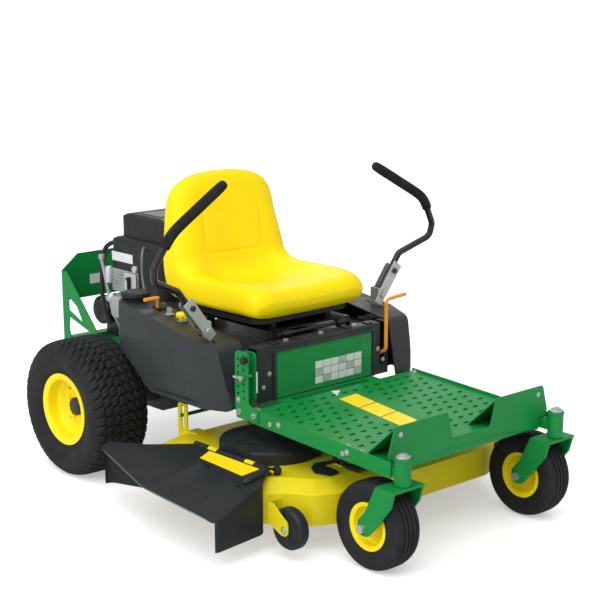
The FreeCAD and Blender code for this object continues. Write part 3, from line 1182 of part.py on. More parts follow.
def front_panel():
    """Panel below the seat's front edge, with the ledge behind it and the brake lever's slot."""
    face = box(PANEL_X - PANEL_T, PANEL_X, -PANEL_HALF, PANEL_HALF, RAIL_TOP, PANEL_TOP)
    ledge = box(SEAT_HINGE_X + LEDGE_BEHIND, PANEL_X, -PANEL_HALF, PANEL_HALF, PANEL_TOP - PANEL_T, PANEL_TOP)
    half, top = PANEL_FIELD_HALF + PANEL_FRAME_W, PANEL_FIELD_TOP + PANEL_FRAME_W
    frame = prism_yz([(-half, RAIL_TOP), (half, RAIL_TOP), (half, top, 8), (-half, top, 8)], PANEL_X - 1,
                     PANEL_X + PANEL_FRAME)
    frame = frame.cut(box(PANEL_X, PANEL_X + PANEL_FRAME + 1, -PANEL_FIELD_HALF, PANEL_FIELD_HALF, RAIL_TOP - 1,
                          PANEL_FIELD_TOP))
    panel = fuse([face, ledge, frame])
    slot = box(SEAT_DECK_X1 - 5, PANEL_X + 10, BRAKE_Y - 11, BRAKE_Y + 11, 385, PANEL_TOP + 5)
    return panel.cut(slot)


def seat_deck():
    """Folded steel box between the pods, with the brake lever's lug and the levers' pivot pins."""
    x0, x1, half, top = SEAT_DECK_X0, SEAT_DECK_X1, POD_IN_Y - SEAT_GAP, SEAT_DECK_TOP
    outer = box(x0, x1, -half, half, RAIL_TOP, top)
    inner = box(x0 + SHEET, x1 - SHEET, -half + SHEET, half - SHEET, RAIL_TOP - 10, top - SHEET)
    shell = outer.cut(inner)
    for x in (x0, x1 - 20):
        shell = shell.cut(box(x - 5, x + 30, -RAIL_IN + 10, RAIL_IN - 10, RAIL_TOP - 1, RAIL_TOP + 70))
    lug = prism_xz([(x1 - 1, BRAKE_PIVOT_Z - 25), (BRAKE_PIVOT_X + 4, BRAKE_PIVOT_Z - 14, 12),
                    (BRAKE_PIVOT_X + 14, BRAKE_PIVOT_Z + 16, 12), (x1 - 1, BRAKE_PIVOT_Z + 30)],
                   BRAKE_Y - 18, BRAKE_Y - 13)
    pin = rod(5, Vector(BRAKE_PIVOT_X, BRAKE_Y - 14, BRAKE_PIVOT_Z), Y_DIR, 28)
    pieces = [shell, lug, pin]
    arm_pin = rod(ARM_PIN_R, Vector(ARM_X, half - 2, ARM_PIVOT_Z), Y_DIR, ARM_WEB_Y + 2 - half)
    pieces += both_sides(arm_pin)
    hinge = box(SEAT_HINGE_X - 9, SEAT_HINGE_X + 9, -156, -150, top - 1, SEAT_HINGE_Z)
    hinge = hinge.fuse(rod(9, Vector(SEAT_HINGE_X, -156, SEAT_HINGE_Z), Y_DIR, 6))
    ledge = box(x1 - 40, SEAT_HINGE_X + 9, -156, -150, top - 1, top + 6)
    pieces += both_sides(hinge) + both_sides(ledge)
    hinge_rod = rod(SEAT_HINGE_R, Vector(SEAT_HINGE_X, -160, SEAT_HINGE_Z), Y_DIR, 320)
    pieces.append(hinge_rod)
    bumper = rod(14, Vector(x0 + 60, 150, top - 1), Z_DIR, SEAT_PLATE_Z - top + 1 - SEAT_GAP)
    pieces += both_sides(bumper)
    return fuse(pieces)


def battery():
    x0 = TRAY_X + BATTERY_IN
    top = RAIL_TOP + BATTERY_H
    case = box(x0, x0 + BATTERY_L, -BATTERY_HALF, BATTERY_HALF, RAIL_TOP, top)
    posts = [rod(8, Vector(x0 + 30, y, top), Z_DIR, 14) for y in (30 - BATTERY_HALF, BATTERY_HALF - 30)]
    return fuse([case] + posts)


def gate_hole(row, column):
    """Centre of one hole of the height gate; the rear column stands half a pitch higher."""
    rise = GATE_PITCH / 2 if column == 0 else 0
    return Vector(GATE_X + GATE_COLUMN * column, -GATE_Y, GATE_Z + row * GATE_PITCH + rise)


def height_gate():
    """Upright perforated plate with its inner twin, standing on the platform's right side rail."""
    x0, x1 = GATE_X - GATE_EDGE, GATE_X + GATE_COLUMN + GATE_FRONT
    top = GATE_TOP_Z
    outline = [(x0 + 6, GATE_FOOT_Z), (GATE_FOOT_X, GATE_FOOT_Z), (GATE_FOOT_X, GATE_FOOT_Z + 42, 6),
               (x1, GATE_FOOT_Z + 50, 10), (x1, top, 16), (x0, top, 16), (x0, GATE_FOOT_Z + 38, 10)]
    outer = prism_xz(outline, -GATE_Y, -GATE_Y + GATE_T)
    twin_z = GATE_Z - 8
    inner = prism_xz([(x0, twin_z, 8), (x1, twin_z, 8), (x1, top - 5, 14), (x0, top - 5, 14)],
                     -GATE_Y + GATE_GAP, -GATE_Y + GATE_GAP + GATE_T)
    back = box(x0, x0 + GATE_T, -GATE_Y + 1, -GATE_Y + GATE_GAP + 3, twin_z + 12, top - 23)
    gate = fuse([outer, inner, back])
    for row in range(GATE_ROWS):
        for column in (0, 1):
            if column == 0 and row == GATE_ROWS - 1:
                continue
            gate = gate.cut(rod(GATE_HOLE_R, gate_hole(row, column) - Y_DIR * 2, Y_DIR, 2 * GATE_GAP))
    return gate


def height_pin():
    """Pull pin through both plates of the gate, with its bent handle outside."""
    place = gate_hole(PIN_ROW, 1)
    r = GATE_HOLE_R - RUN_FIT
    shank = rod(r, place - Y_DIR * 14, Y_DIR, 14 + GATE_GAP + 16)
    collar = rod(r + 3, place - Y_DIR * 14, Y_DIR, 10)
    handle = rod(4, place - Y_DIR * 12 + X_DIR * 2, X_DIR * -1, 34)
    return fuse([shank, collar, handle])


# ---- seat ---------------------------------------------------------------------------------------
def seat_plate():
    """Hinged plate that carries the seat, with its two knuckles on the hinge rod."""
    plate = box(SEAT_DECK_X0 + 30, SEAT_HINGE_X - 14, -170, 170, SEAT_PLATE_Z, SEAT_PLATE_Z + SEAT_PLATE_T)
    pieces = [plate]
    for side in (1, -1):
        y0 = 100 if side > 0 else -140
        knuckle = rod(11, Vector(SEAT_HINGE_X, y0, SEAT_HINGE_Z), Y_DIR, 40)
        tab = box(SEAT_HINGE_X - 16, SEAT_HINGE_X, y0, y0 + 40, SEAT_PLATE_Z, SEAT_PLATE_Z + SEAT_PLATE_T - 1)
        pieces += [knuckle, tab]
    rails = []
    for y in (110, -130):
        rails.append(box(SEAT_DECK_X0 + 60, SEAT_HINGE_X - 60, y, y + 20, SEAT_PLATE_Z + SEAT_PLATE_T - 1,
                         SEAT_PAN_Z - SEAT_GAP))
    plate = fuse(pieces + rails)
    return plate.cut(rod(SEAT_HINGE_R + RUN_FIT, Vector(SEAT_HINGE_X, -200, SEAT_HINGE_Z), Y_DIR, 400))


def seat_pan():
    """Moulded pan under the cushion; its runners straddle the two rails of the plate."""
    pan = prism_xy([(190, -205, 50), (SEAT_FRONT_X - 40, -205, 50), (SEAT_FRONT_X - 40, 205, 50), (190, 205, 50)],
                   SEAT_PAN_Z, SEAT_BOTTOM_Z)
    pieces = [pan]
    for y in (110, -130):
        for wall in (y - 6 - SEAT_GAP, y + 20 + SEAT_GAP):
            pieces.append(box(SEAT_DECK_X0 + 80, SEAT_HINGE_X - 90, wall, wall + 6, SEAT_PLATE_Z + 8, SEAT_PAN_Z + 1))
    return fuse(pieces)


def seat_cushion():
    """One-piece seat: a crowned cushion that turns up into a tall back with round shoulders."""
    side = [(166, SEAT_BOTTOM_Z, 40), (SEAT_FRONT_X - 18, SEAT_BOTTOM_Z, 26), (SEAT_FRONT_X, 652, 30),
            (560, 682, 60), (430, 664, 120), (300, 668, 60), (258, 740, 80), (206, SEAT_TOP_Z - 8, 26),
            (150, SEAT_TOP_Z, 34), (122, 900, 120), (128, 700, 60)]
    back = [(-SEAT_HALF, SEAT_BOTTOM_Z), (SEAT_HALF, SEAT_BOTTOM_Z), (SEAT_HALF, 745, 90),
            (SEAT_BACK_HALF + 2, 860, 120), (SEAT_BACK_HALF - 12, SEAT_TOP_Z, 66), (-SEAT_BACK_HALF + 12, SEAT_TOP_Z, 66),
            (-SEAT_BACK_HALF - 2, 860, 120), (-SEAT_HALF, 745, 90)]
    plan = [(100, -SEAT_HALF, 40), (SEAT_FRONT_X, -SEAT_HALF, 70), (SEAT_FRONT_X, SEAT_HALF, 70), (100, SEAT_HALF, 40)]
    form = prism_xz(side, -SEAT_HALF, SEAT_HALF).common(prism_yz(back, 100, 700))
    return form.common(prism_xy(plan, 500, 1100))


# ---- levers and controls ------------------------------------------------------------------------
BAR_POINTS = [Vector(ARM_X, 380, 580), Vector(ARM_X + 2, 478, 712), Vector(596, 592, 762), Vector(604, 596, 806),
              Vector(616, 537, 904), Vector(597, 322, 1026)]
GRIP_START = 0.55       # share of the run before the last bend at which the grip begins


def arm_ear(x):
    """One of the two sloping cheeks between which the lap bar's foot lies."""
    foot = BAR_POINTS[0]
    rise = BAR_POINTS[1] - foot
    rise.x = 0
    rise.normalize()
    low = foot + rise * 16 + Vector(0, rise.z, -rise.y) * ARM_EAR_HALF
    high = foot + rise * ARM_EAR_L + Vector(0, rise.z, -rise.y) * ARM_EAR_HALF
    back = high - Vector(0, rise.z, -rise.y) * (2 * ARM_EAR_HALF)
    corner_z = ARM_TOP_Z
    corner_y = foot.y + (corner_z - foot.z) * rise.y / rise.z - ARM_EAR_HALF / rise.z
    return prism_yz([(ARM_WEB_Y + 1, 574), (low.y - 8, 574, 8), (low.y, low.z, 8), (high.y, high.z, 10),
                     (back.y, back.z, 10), (max(corner_y, ARM_WEB_Y + 3), corner_z), (ARM_WEB_Y + 1, corner_z)],
                    x, x + 4)


def control_arm():
    """Left control arm: hub on its pin, upright web, and the two cheeks that hold the lap bar."""
    hub = rod(ARM_HUB_R, Vector(ARM_X, POD_IN_Y + 6, ARM_PIVOT_Z), Y_DIR, ARM_WEB_Y + ARM_SHEET - POD_IN_Y - 6)
    web = prism_xz([(ARM_X - ARM_HUB_R, ARM_PIVOT_Z - 10, 8), (ARM_X + ARM_HUB_R, ARM_PIVOT_Z - 10, 8),
                    (ARM_X + ARM_HALF, 570, 10), (ARM_X + ARM_HALF, ARM_TOP_Z, 8), (ARM_X - ARM_HALF, ARM_TOP_Z, 8),
                    (ARM_X - ARM_HALF, 570, 10)], ARM_WEB_Y, ARM_WEB_Y + ARM_SHEET)
    bolt = rod(BAR_PIN_R, Vector(ARM_X - ARM_HALF - 2, BAR_PIVOT_Y, BAR_PIVOT_Z), X_DIR, 2 * ARM_HALF + 4)
    heads = [hex_head(Vector(ARM_X + ARM_HALF, BAR_PIVOT_Y, BAR_PIVOT_Z), X_DIR, 9, 7),
             hex_head(Vector(ARM_X - ARM_HALF, BAR_PIVOT_Y, BAR_PIVOT_Z), X_DIR * -1, 9, 7)]
    arm = fuse([hub, web, arm_ear(ARM_X - ARM_HALF), arm_ear(ARM_X + ARM_HALF - 4), bolt] + heads)
    return arm.cut(rod(ARM_PIN_R + RUN_FIT, Vector(ARM_X, 200, ARM_PIVOT_Z), Y_DIR, ARM_WEB_Y + 1.5 - 200))


def lap_bar():
    """Left lap bar: bent tube with the flattened eye at its foot."""
    tube = bent_rod(BAR_POINTS, BAR_R, 30)
    eye = rod(BAR_R + 1, Vector(ARM_X - 13, BAR_PIVOT_Y, BAR_PIVOT_Z), X_DIR, 26)
    bar = tube.fuse(eye)
    return bar.cut(rod(BAR_PIN_R + RUN_FIT, Vector(ARM_X - 60, BAR_PIVOT_Y, BAR_PIVOT_Z), X_DIR, 120))


def lap_grip():
    """Left foam grip over the bar's last bend, closed at its tip."""
    before, bend, tip = BAR_POINTS[-3:]
    start = before + (bend - before) * GRIP_START
    along = (tip - bend).normalize()
    outer = bent_rod([start, bend, tip + along * 6], GRIP_R, 42)
    start_in = start - (bend - before).normalize() * 2
    inner = bent_rod([start_in, bend, tip + along * 0.3], BAR_R + 0.1, 30)
    return outer.cut(inner)


def brake_lever():
    """Parking brake lever: bent rod with its handle turned outward, on a hub behind the panel."""
    hub = rod(12, Vector(BRAKE_PIVOT_X, BRAKE_Y - 8, BRAKE_PIVOT_Z), Y_DIR, 16)
    x = PANEL_X + 17
    points = [Vector(BRAKE_PIVOT_X, BRAKE_Y, BRAKE_PIVOT_Z + 2), Vector(x, BRAKE_Y, 436), Vector(x, BRAKE_Y, 606),
              Vector(x, BRAKE_Y + 88, 612)]
    lever = bent_rod(points, BRAKE_ROD_R, 16).fuse(hub)
    return lever.cut(rod(5 + RUN_FIT, Vector(BRAKE_PIVOT_X, BRAKE_Y - 20, BRAKE_PIVOT_Z), Y_DIR, 40))


def throttle_lever():
    """Throttle: flat steel lever in the slot of the right pod, with its handle turned outward."""
    top = pod_top_z(THROTTLE_X)
    blade = box(THROTTLE_X - 6, THROTTLE_X + 6, THROTTLE_Y - 2, THROTTLE_Y + 2, top - 26, top + 34)
    hub = rod(9, Vector(THROTTLE_X, THROTTLE_Y - THROTTLE_HUB_HALF, top - 26), Y_DIR, 2 * THROTTLE_HUB_HALF)
    handle = prism_xz([(THROTTLE_X - 9, top + 28, 4), (THROTTLE_X + 9, top + 28, 4), (THROTTLE_X + 9, top + 38, 4),
                       (THROTTLE_X - 9, top + 38, 4)], THROTTLE_Y - 48, THROTTLE_Y + 4)
    lever = fuse([blade, hub, handle])
    return lever.cut(rod(THROTTLE_PIN_R + RUN_FIT, Vector(THROTTLE_X, THROTTLE_Y - 20, top - 26), Y_DIR, 40))


def throttle_pivot_z():
    return pod_top_z(THROTTLE_X) - 26


def pto_knob():
    """Push-pull blade clutch switch: a stem in the pod's top under a round knob."""
    top = pod_top_z(PTO_X)
    profile = [(0, top - 20), (8, top - 20), (8, top + 8), (11, top + 10), (20, top + 18, 5), (20, top + 27, 6),
               (0, top + 30)]
    return turned_z(profile, Vector(PTO_X, PTO_Y, 0))


def ignition_key():
    """Key with its barrel in the right pod."""
    top = pod_top_z(KEY_X)
    lock = rod(9, Vector(KEY_X, KEY_Y, top - 18), Z_DIR, 22)
    bow = prism_xz([(KEY_X - 12, top + 3, 4), (KEY_X + 12, top + 3, 4), (KEY_X + 12, top + 24, 8),
                    (KEY_X - 12, top + 24, 8)], KEY_Y - 1.5, KEY_Y + 1.5)
    return lock.fuse(bow)


def frame_bolts():
    """Bolt heads on the platform's side rails, the gate, the guard and the front panel."""
    bolts = []
    for side in (1, -1):
        for x in (FLOOR_X0 + 90, TOE_X - 168):
            spot = Vector(x, side * SIDE_RAIL_Y, floor_z(x) - 18)
            bolts.append(rod(8, spot, Y_DIR * side, 5))
        for x in (GUARD_X + 22, GUARD_FRONT_X - 14):
            spot = Vector(x, side * (RAIL_OUT + GUARD_SHEET), RAIL_TOP - 22)
            bolts.append(hex_head(spot, Y_DIR * side, 10, 8))
    for x in (GATE_X + 6, GATE_FOOT_X - 18):
        bolts.append(rod(8, Vector(x, -GATE_Y, GATE_FOOT_Z + 20), Y_DIR * -1, 5))
    for y in (PANEL_FIELD_HALF - 362, 0, 362 - PANEL_FIELD_HALF):
        bolts.append(hex_head(Vector(PANEL_X - 22, y, PANEL_TOP), Z_DIR, 9, 6))
    return bolts


# ---- the whole machine --------------------------------------------------------------------------
def build():
    save("main_frame", main_frame())
    save("foot_platform", foot_platform())
    save("rear_guard", rear_guard())
    save("engine_block", engine_block())
    save("engine_shroud", engine_shroud())
    save("air_filter_cover", air_filter_cover())
    save("muffler", muffler())
    save("engine_crank", engine_crank())
    save("transaxles", both_sides(transaxle()))
    save("transaxle_belt", transaxle_belt())
    save("pod_left", pod_left())
    save("pod_right", pod_right())
    save("fuel_tank", fuel_tank())
    save("fuel_cap", fuel_cap())
    save("front_panel", front_panel())
    save("seat_deck", seat_deck())
    save("battery", battery())
    save("height_gate", height_gate())
    save("height_pin", height_pin())
    save("seat_plate", seat_plate())
    save("seat_pan", seat_pan())
    save("seat_cushion", seat_cushion())
    save("mower_deck", mower_deck())
    save("spindle_housings", spindle_housings())
    save("belt_covers", belt_covers())
    save("deck_brackets", deck_brackets())
    save("mower_belt", mower_belt())
    save("discharge_chute", discharge_chute())
    save("brake_lever", brake_lever())
    save("throttle_lever", throttle_lever())
    save("pto_knob", pto_knob())
    save("ignition_key", ignition_key())
    save("frame_bolts", frame_bolts())
    paired = {
        "transaxle_input": transaxle_input(),
        "rear_tyre": rear_tyre(),
        "rear_rim": rear_rim(),
        "caster_fork": caster_fork(),
        "caster_hardware": caster_hardware(),
        "caster_tyre": caster_tyre(),
        "caster_rim": caster_rim(),
        "blade_spindle": blade_spindle(),
        "mower_blade": mower_blade(),
        "scalp_wheel": scalp_wheel(),
        "control_arm": control_arm(),
        "lap_bar": lap_bar(),
        "lap_grip": lap_grip(),
    }
    for name, left in paired.items():
        solids = left if isinstance(left, list) else [left]
        save(name + "_left", solids)
        save(name + "_right", [mirror(solid) for solid in solids])


build()
os.makedirs("parts", exist_ok=True)
for node, shape in PARTS.items():
    shape.exportStep("parts/" + node + ".step")
print(len(PARTS), "nodes written")
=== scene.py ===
import json
import math

import bpy
import bmesh
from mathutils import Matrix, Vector

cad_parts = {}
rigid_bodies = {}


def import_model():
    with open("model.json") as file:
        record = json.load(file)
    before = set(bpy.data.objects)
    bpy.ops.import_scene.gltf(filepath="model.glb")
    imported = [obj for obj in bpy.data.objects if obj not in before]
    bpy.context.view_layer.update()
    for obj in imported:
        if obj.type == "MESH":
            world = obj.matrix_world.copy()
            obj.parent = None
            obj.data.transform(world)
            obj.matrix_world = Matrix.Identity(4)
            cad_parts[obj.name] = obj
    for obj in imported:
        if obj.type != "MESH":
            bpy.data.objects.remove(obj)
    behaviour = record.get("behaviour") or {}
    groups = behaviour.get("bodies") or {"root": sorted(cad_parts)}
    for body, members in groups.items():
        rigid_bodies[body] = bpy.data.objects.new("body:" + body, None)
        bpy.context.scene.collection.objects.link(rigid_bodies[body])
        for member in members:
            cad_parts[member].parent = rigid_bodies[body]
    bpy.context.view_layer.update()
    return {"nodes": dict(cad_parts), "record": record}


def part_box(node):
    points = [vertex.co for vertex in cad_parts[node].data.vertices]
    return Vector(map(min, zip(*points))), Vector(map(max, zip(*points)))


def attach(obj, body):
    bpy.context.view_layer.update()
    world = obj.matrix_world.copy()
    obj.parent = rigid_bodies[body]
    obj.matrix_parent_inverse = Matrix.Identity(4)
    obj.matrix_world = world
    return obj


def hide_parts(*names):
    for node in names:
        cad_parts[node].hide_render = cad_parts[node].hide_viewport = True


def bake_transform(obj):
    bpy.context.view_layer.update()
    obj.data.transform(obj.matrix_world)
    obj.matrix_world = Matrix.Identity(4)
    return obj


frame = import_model()
NODES = frame["nodes"]

# ---- places -------------------------------------------------------------------------------------
# The machine is laid out in millimetres from its rear axle: +X forward, +Y left, +Z up.


def centre(node):
    low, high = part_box(node)
    return (low + high) / 2


AXLE_LEFT = centre("rear_tyre_left")
AXLE_RIGHT = centre("rear_tyre_right")
ORIGIN = Vector((AXLE_LEFT.x, (AXLE_LEFT.y + AXLE_RIGHT.y) / 2, 0))


def place(x, y, z):
    """Millimetres from the rear axle's middle to metres in the row frame."""
    return ORIGIN + Vector((x, y, z)) / 1000


# ---- materials ----------------------------------------------------------------------------------
def linear(hex_colour):
    """sRGB hex to linear RGBA."""
    values = [int(hex_colour[i:i + 2], 16) / 255 for i in (0, 2, 4)]
    return tuple(v / 12.92 if v <= 0.04045 else ((v + 0.055) / 1.055) ** 2.4 for v in values) + (1.0,)


class Look:
    """A procedural material: a principled shader with noise in its colour, roughness and bump."""

    def __init__(self, name, colour, rough=0.5, metal=0.0, coat=0.0, specular=0.5):
        self.material = bpy.data.materials.new(name)
        self.material.use_nodes = True
        self.tree = self.material.node_tree
        self.shader = self.tree.nodes["Principled BSDF"]
        self.colour = linear(colour)
        self.rough = rough
        self.material.diffuse_color = self.colour
        self.set("Base Color", self.colour)
        self.set("Roughness", rough)
        self.set("Metallic", metal)
        self.set("Coat Weight", coat)
        self.set("Coat Roughness", 0.12)
        self.set("Specular IOR Level", specular)
        self.normal = None

    def set(self, socket, value):
        self.shader.inputs[socket].default_value = value

    def node(self, kind, **inputs):
        node = self.tree.nodes.new(kind)
        for key, value in inputs.items():
            node.inputs[key.replace("_", " ")].default_value = value
        return node

    def link(self, source, target):
        self.tree.links.new(source, target)

    def coordinates(self, stretch=(1, 1, 1)):
        where = self.node("ShaderNodeTexCoord")
        mapping = self.node("ShaderNodeMapping", Scale=stretch)
        self.link(where.outputs["Object"], mapping.inputs["Vector"])
        return mapping.outputs["Vector"]

    def noise(self, scale, detail=3.0, stretch=(1, 1, 1), roughness=0.5):
        node = self.node("ShaderNodeTexNoise", Scale=scale, Detail=detail, Roughness=roughness)
        self.link(self.coordinates(stretch), node.inputs["Vector"])
        return node.outputs["Fac"]

    def spread(self, value, low, high, start=0.35, end=0.65):
        node = self.node("ShaderNodeMapRange")
        for key, number in (("From Min", start), ("From Max", end), ("To Min", low), ("To Max", high)):
            node.inputs[key].default_value = number
        self.link(value, node.inputs["Value"])
        return node.outputs["Result"]

    def tint(self, value, other, amount):
        """Mix the base colour toward another one where value is high."""
        mix = self.tree.nodes.new("ShaderNodeMix")
        mix.data_type = "RGBA"
        mix.inputs["A"].default_value = self.colour
        mix.inputs["B"].default_value = linear(other)
        self.link(self.spread(value, 0.0, amount), mix.inputs["Factor"])
        self.link(mix.outputs["Result"], self.shader.inputs["Base Color"])
        return self

    def vary(self, scale, other, amount):
        return self.tint(self.noise(scale), other, amount)

    def gloss(self, scale, change):
        value = self.spread(self.noise(scale), self.rough - change, self.rough + change)
        self.link(value, self.shader.inputs["Roughness"])
        return self

    def bump(self, height, strength, distance):
        node = self.node("ShaderNodeBump", Strength=strength, Distance=distance)
        self.link(height, node.inputs["Height"])
        if self.normal:
            self.link(self.normal, node.inputs["Normal"])
        self.normal = node.outputs["Normal"]
        self.link(self.normal, self.shader.inputs["Normal"])
        return self

    def grain(self, scale, strength, distance=0.0004, detail=2.0, stretch=(1, 1, 1)):
        return self.bump(self.noise(scale, detail, stretch), strength, distance)

    def leather(self, scale, strength):
        """Fine pebbled grain of moulded vinyl or plastic."""
        node = self.node("ShaderNodeTexVoronoi", Scale=scale)
        self.link(self.coordinates(), node.inputs["Vector"])
        return self.bump(node.outputs["Distance"], strength, 0.0003)


def make_looks():
    looks = {
        "green": Look("green_enamel", "128a40", 0.42, coat=0.08, specular=0.2)
            .vary(5, "0e7c38", 0.5).gloss(9, 0.06),
        "yellow": Look("yellow_enamel", "fbe612", 0.40, coat=0.1, specular=0.25)
            .vary(4, "f4da08", 0.5).gloss(8, 0.06),
        # Painted shade: the deck's yellow is a darker, greener copy of the yellow enamel, for the shade the
        # deck lies in.
        "deck": Look("deck_enamel_painted_shade", "f1de14", 0.42, coat=0.1, specular=0.25)
            .vary(3, "dccb1c", 0.7).gloss(8, 0.06),
        "casting": Look("dusty_casting", "55585a", 0.55, metal=0.4)
            .vary(9, "3f4243", 0.7).gloss(18, 0.1),
        "vinyl": Look("yellow_vinyl", "ffe300", 0.50, specular=0.2)
            .vary(6, "fadb00", 0.5).gloss(30, 0.05),
        "plastic": Look("black_moulding", "222527", 0.50, specular=0.25)
            .vary(7, "292c2e", 0.7).gloss(20, 0.08),
        "pod": Look("grey_moulding", "2c3032", 0.46, specular=0.35)
            .vary(5, "33383a", 0.6).gloss(16, 0.07),
        "black": Look("black_enamel", "121314", 0.32, coat=0.2, specular=0.4)
            .vary(8, "1c1d1e", 0.5).gloss(12, 0.06),
        "tyre": Look("tyre_rubber", "1b1c1e", 0.70, specular=0.25)
            .vary(14, "242526", 0.8).gloss(25, 0.08),
        "foam": Look("grip_foam", "1d1e1e", 0.85, specular=0.2).vary(40, "282828", 0.7),
        "belt": Look("belt_rubber", "161617", 0.75, specular=0.3).vary(30, "242424", 0.6),
        "aluminium": Look("cast_aluminium", "b4b6b7", 0.46, metal=0.6)
            .vary(9, "96999b", 0.7).gloss(18, 0.1),
        "zinc": Look("zinc_plate", "bcc1bd", 0.38, metal=0.6).vary(16, "aab0a8", 0.6).gloss(26, 0.1),
        "steel": Look("ground_steel", "8b8d90", 0.36, metal=1.0).vary(12, "6d6f73", 0.6).gloss(20, 0.1),
        "orange": Look("orange_moulding", "f29a1c", 0.45, specular=0.3)
            .vary(12, "e68c10", 0.5).gloss(20, 0.05),
        "amber": Look("yellow_moulding", "ffe01a", 0.42, specular=0.3)
            .vary(12, "f5d20a", 0.5).gloss(20, 0.05),
        "white": Look("white_film", "e4e7e6", 0.5, specular=0.2).vary(20, "d6d9d8", 0.5).gloss(20, 0.05),
        "leaf": Look("light_green_film", "1f8f4a", 0.45, specular=0.2)
            .vary(18, "1a8341", 0.5).gloss(20, 0.05),
        # Painted shade: a dark green that stands for the shadow inside the floor's lance slots.
        "slot": Look("painted_slot_shade", "06381c", 0.8, specular=0.1).vary(20, "0a4424", 0.5),
        "hose": Look("grey_hose", "6f7375", 0.6).vary(20, "5d6163", 0.5),
        "silver": Look("silver_film", "c9cccd", 0.35, metal=0.3).vary(20, "b3b6b7", 0.5),
        # Painted highlight: a lighter grey for the light caught along the chute's rolled outer edge.
        "rim_highlight": Look("painted_rim_highlight", "6b7074", 0.5, specular=0.3).vary(30, "565a5d", 0.6),
    }
    looks["vinyl"].leather(900, 0.18).grain(60, 0.08, 0.001)
    looks["plastic"].leather(700, 0.16)
    looks["pod"].leather(620, 0.14).grain(12, 0.05, 0.002)
    looks["tyre"].grain(260, 0.25, 0.0005)
    looks["foam"].leather(420, 0.5)
    looks["belt"].grain(200, 0.2)
    looks["aluminium"].grain(300, 0.25, 0.0006)
    looks["zinc"].grain(120, 0.1)
    looks["steel"].grain(40, 0.12, 0.0004, stretch=(1, 12, 1))
    looks["green"].grain(90, 0.05, 0.0006)
    looks["yellow"].grain(80, 0.05, 0.0006)
    looks["black"].grain(110, 0.06, 0.0005)
    looks["hose"].grain(150, 0.2)
    return {key: look.material for key, look in looks.items()}


LOOKS = make_looks()
BY_SLOT = {"green_paint": "green", "yellow_paint": "yellow", "black_paint": "black",
           "orange_paint": "orange", "seat_vinyl": "vinyl", "black_plastic": "plastic",
           "grey_plastic": "pod", "orange_plastic": "orange", "yellow_plastic": "amber", "tyre": "tyre",
           "foam": "foam", "belt_rubber": "belt", "bare_aluminium": "aluminium", "zinc_steel": "zinc",
           "blade_steel": "steel"}
SLOT_OF = {part["node"]: part["material_slot"] for part in frame["record"]["subparts"]}
# The deck and its brackets take the darker copy of the yellow enamel as painted shade.
BY_NODE = {"transaxles": "casting", "mower_deck": "deck", "deck_brackets": "deck"}
FRONT_HANGER = (965, 1035, 214)     # from x to x, and the height above which it is black


def dress_nodes():
    """One material on each CAD node; the front hangers of the deck's brackets are black."""
    for name, node in NODES.items():
        material = LOOKS[BY_NODE.get(name, BY_SLOT[SLOT_OF[name]])]
        node.data.materials.clear()
        node.data.materials.append(material)
    brackets = NODES["deck_brackets"]
    brackets.data.materials.append(LOOKS["plastic"])
    for face in brackets.data.polygons:
        spot = (brackets.matrix_world @ face.center - ORIGIN) * 1000
        if FRONT_HANGER[0] < spot.x < FRONT_HANGER[1] and spot.z > FRONT_HANGER[2]:
            face.material_index = 1


def surface(node, x, y, above=1500.0):
    """Height in millimetres of a CAD piece's first surface below a place."""
    obj = NODES[node]
    inverse = obj.matrix_world.inverted()
    down = inverse.to_3x3() @ Vector((0, 0, -1))
    hit, spot, _, _ = obj.ray_cast(inverse @ place(x, y, above), down)
    return (obj.matrix_world @ spot).z * 1000 if hit else None


# ---- mesh helpers -------------------------------------------------------------------------------
def piece(name, vertices, faces, look, body, smooth=True):
    mesh = bpy.data.meshes.new(name)
    mesh.from_pydata([tuple(v) for v in vertices], [], faces)
    mesh.validate()
    fix = bmesh.new()
    fix.from_mesh(mesh)
    bmesh.ops.recalc_face_normals(fix, faces=fix.faces)
    fix.to_mesh(mesh)
    fix.free()
    mesh.materials.append(LOOKS[look])
    for face in mesh.polygons:
        face.use_smooth = smooth
    obj = bpy.data.objects.new(name, mesh)
    bpy.context.scene.collection.objects.link(obj)
    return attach(obj, body)


def bevelled(obj, width, segments=2):
    """Round a piece's edges by width millimetres."""
    modifier = obj.modifiers.new("edges", "BEVEL")
    modifier.width = width / 1000
    modifier.segments = segments
    modifier.limit_method = "ANGLE"
    modifier.angle_limit = math.radians(40)
    obj.modifiers.new("shade", "WEIGHTED_NORMAL")
    return obj


def solid(name, outline, direction, look, body, round_mm=0.0):
    """Prism over a closed outline of row-frame points, run along direction (metres)."""
    count = len(outline)
    vertices = list(outline) + [p + direction for p in outline]
    faces = [tuple(range(count)), tuple(range(count, 2 * count))]
    faces += [(i, (i + 1) % count, count + (i + 1) % count, count + i) for i in range(count)]
    obj = piece(name, vertices, faces, look, body, smooth=round_mm > 0)
    return bevelled(obj, round_mm) if round_mm else obj


def block(name, x0, x1, y0, y1, z0, z1, look, body, round_mm=1.5):
    outline = [place(x0, y0, z0), place(x1, y0, z0), place(x1, y1, z0), place(x0, y1, z0)]
    return solid(name, outline, Vector((0, 0, (z1 - z0) / 1000)), look, body, round_mm)


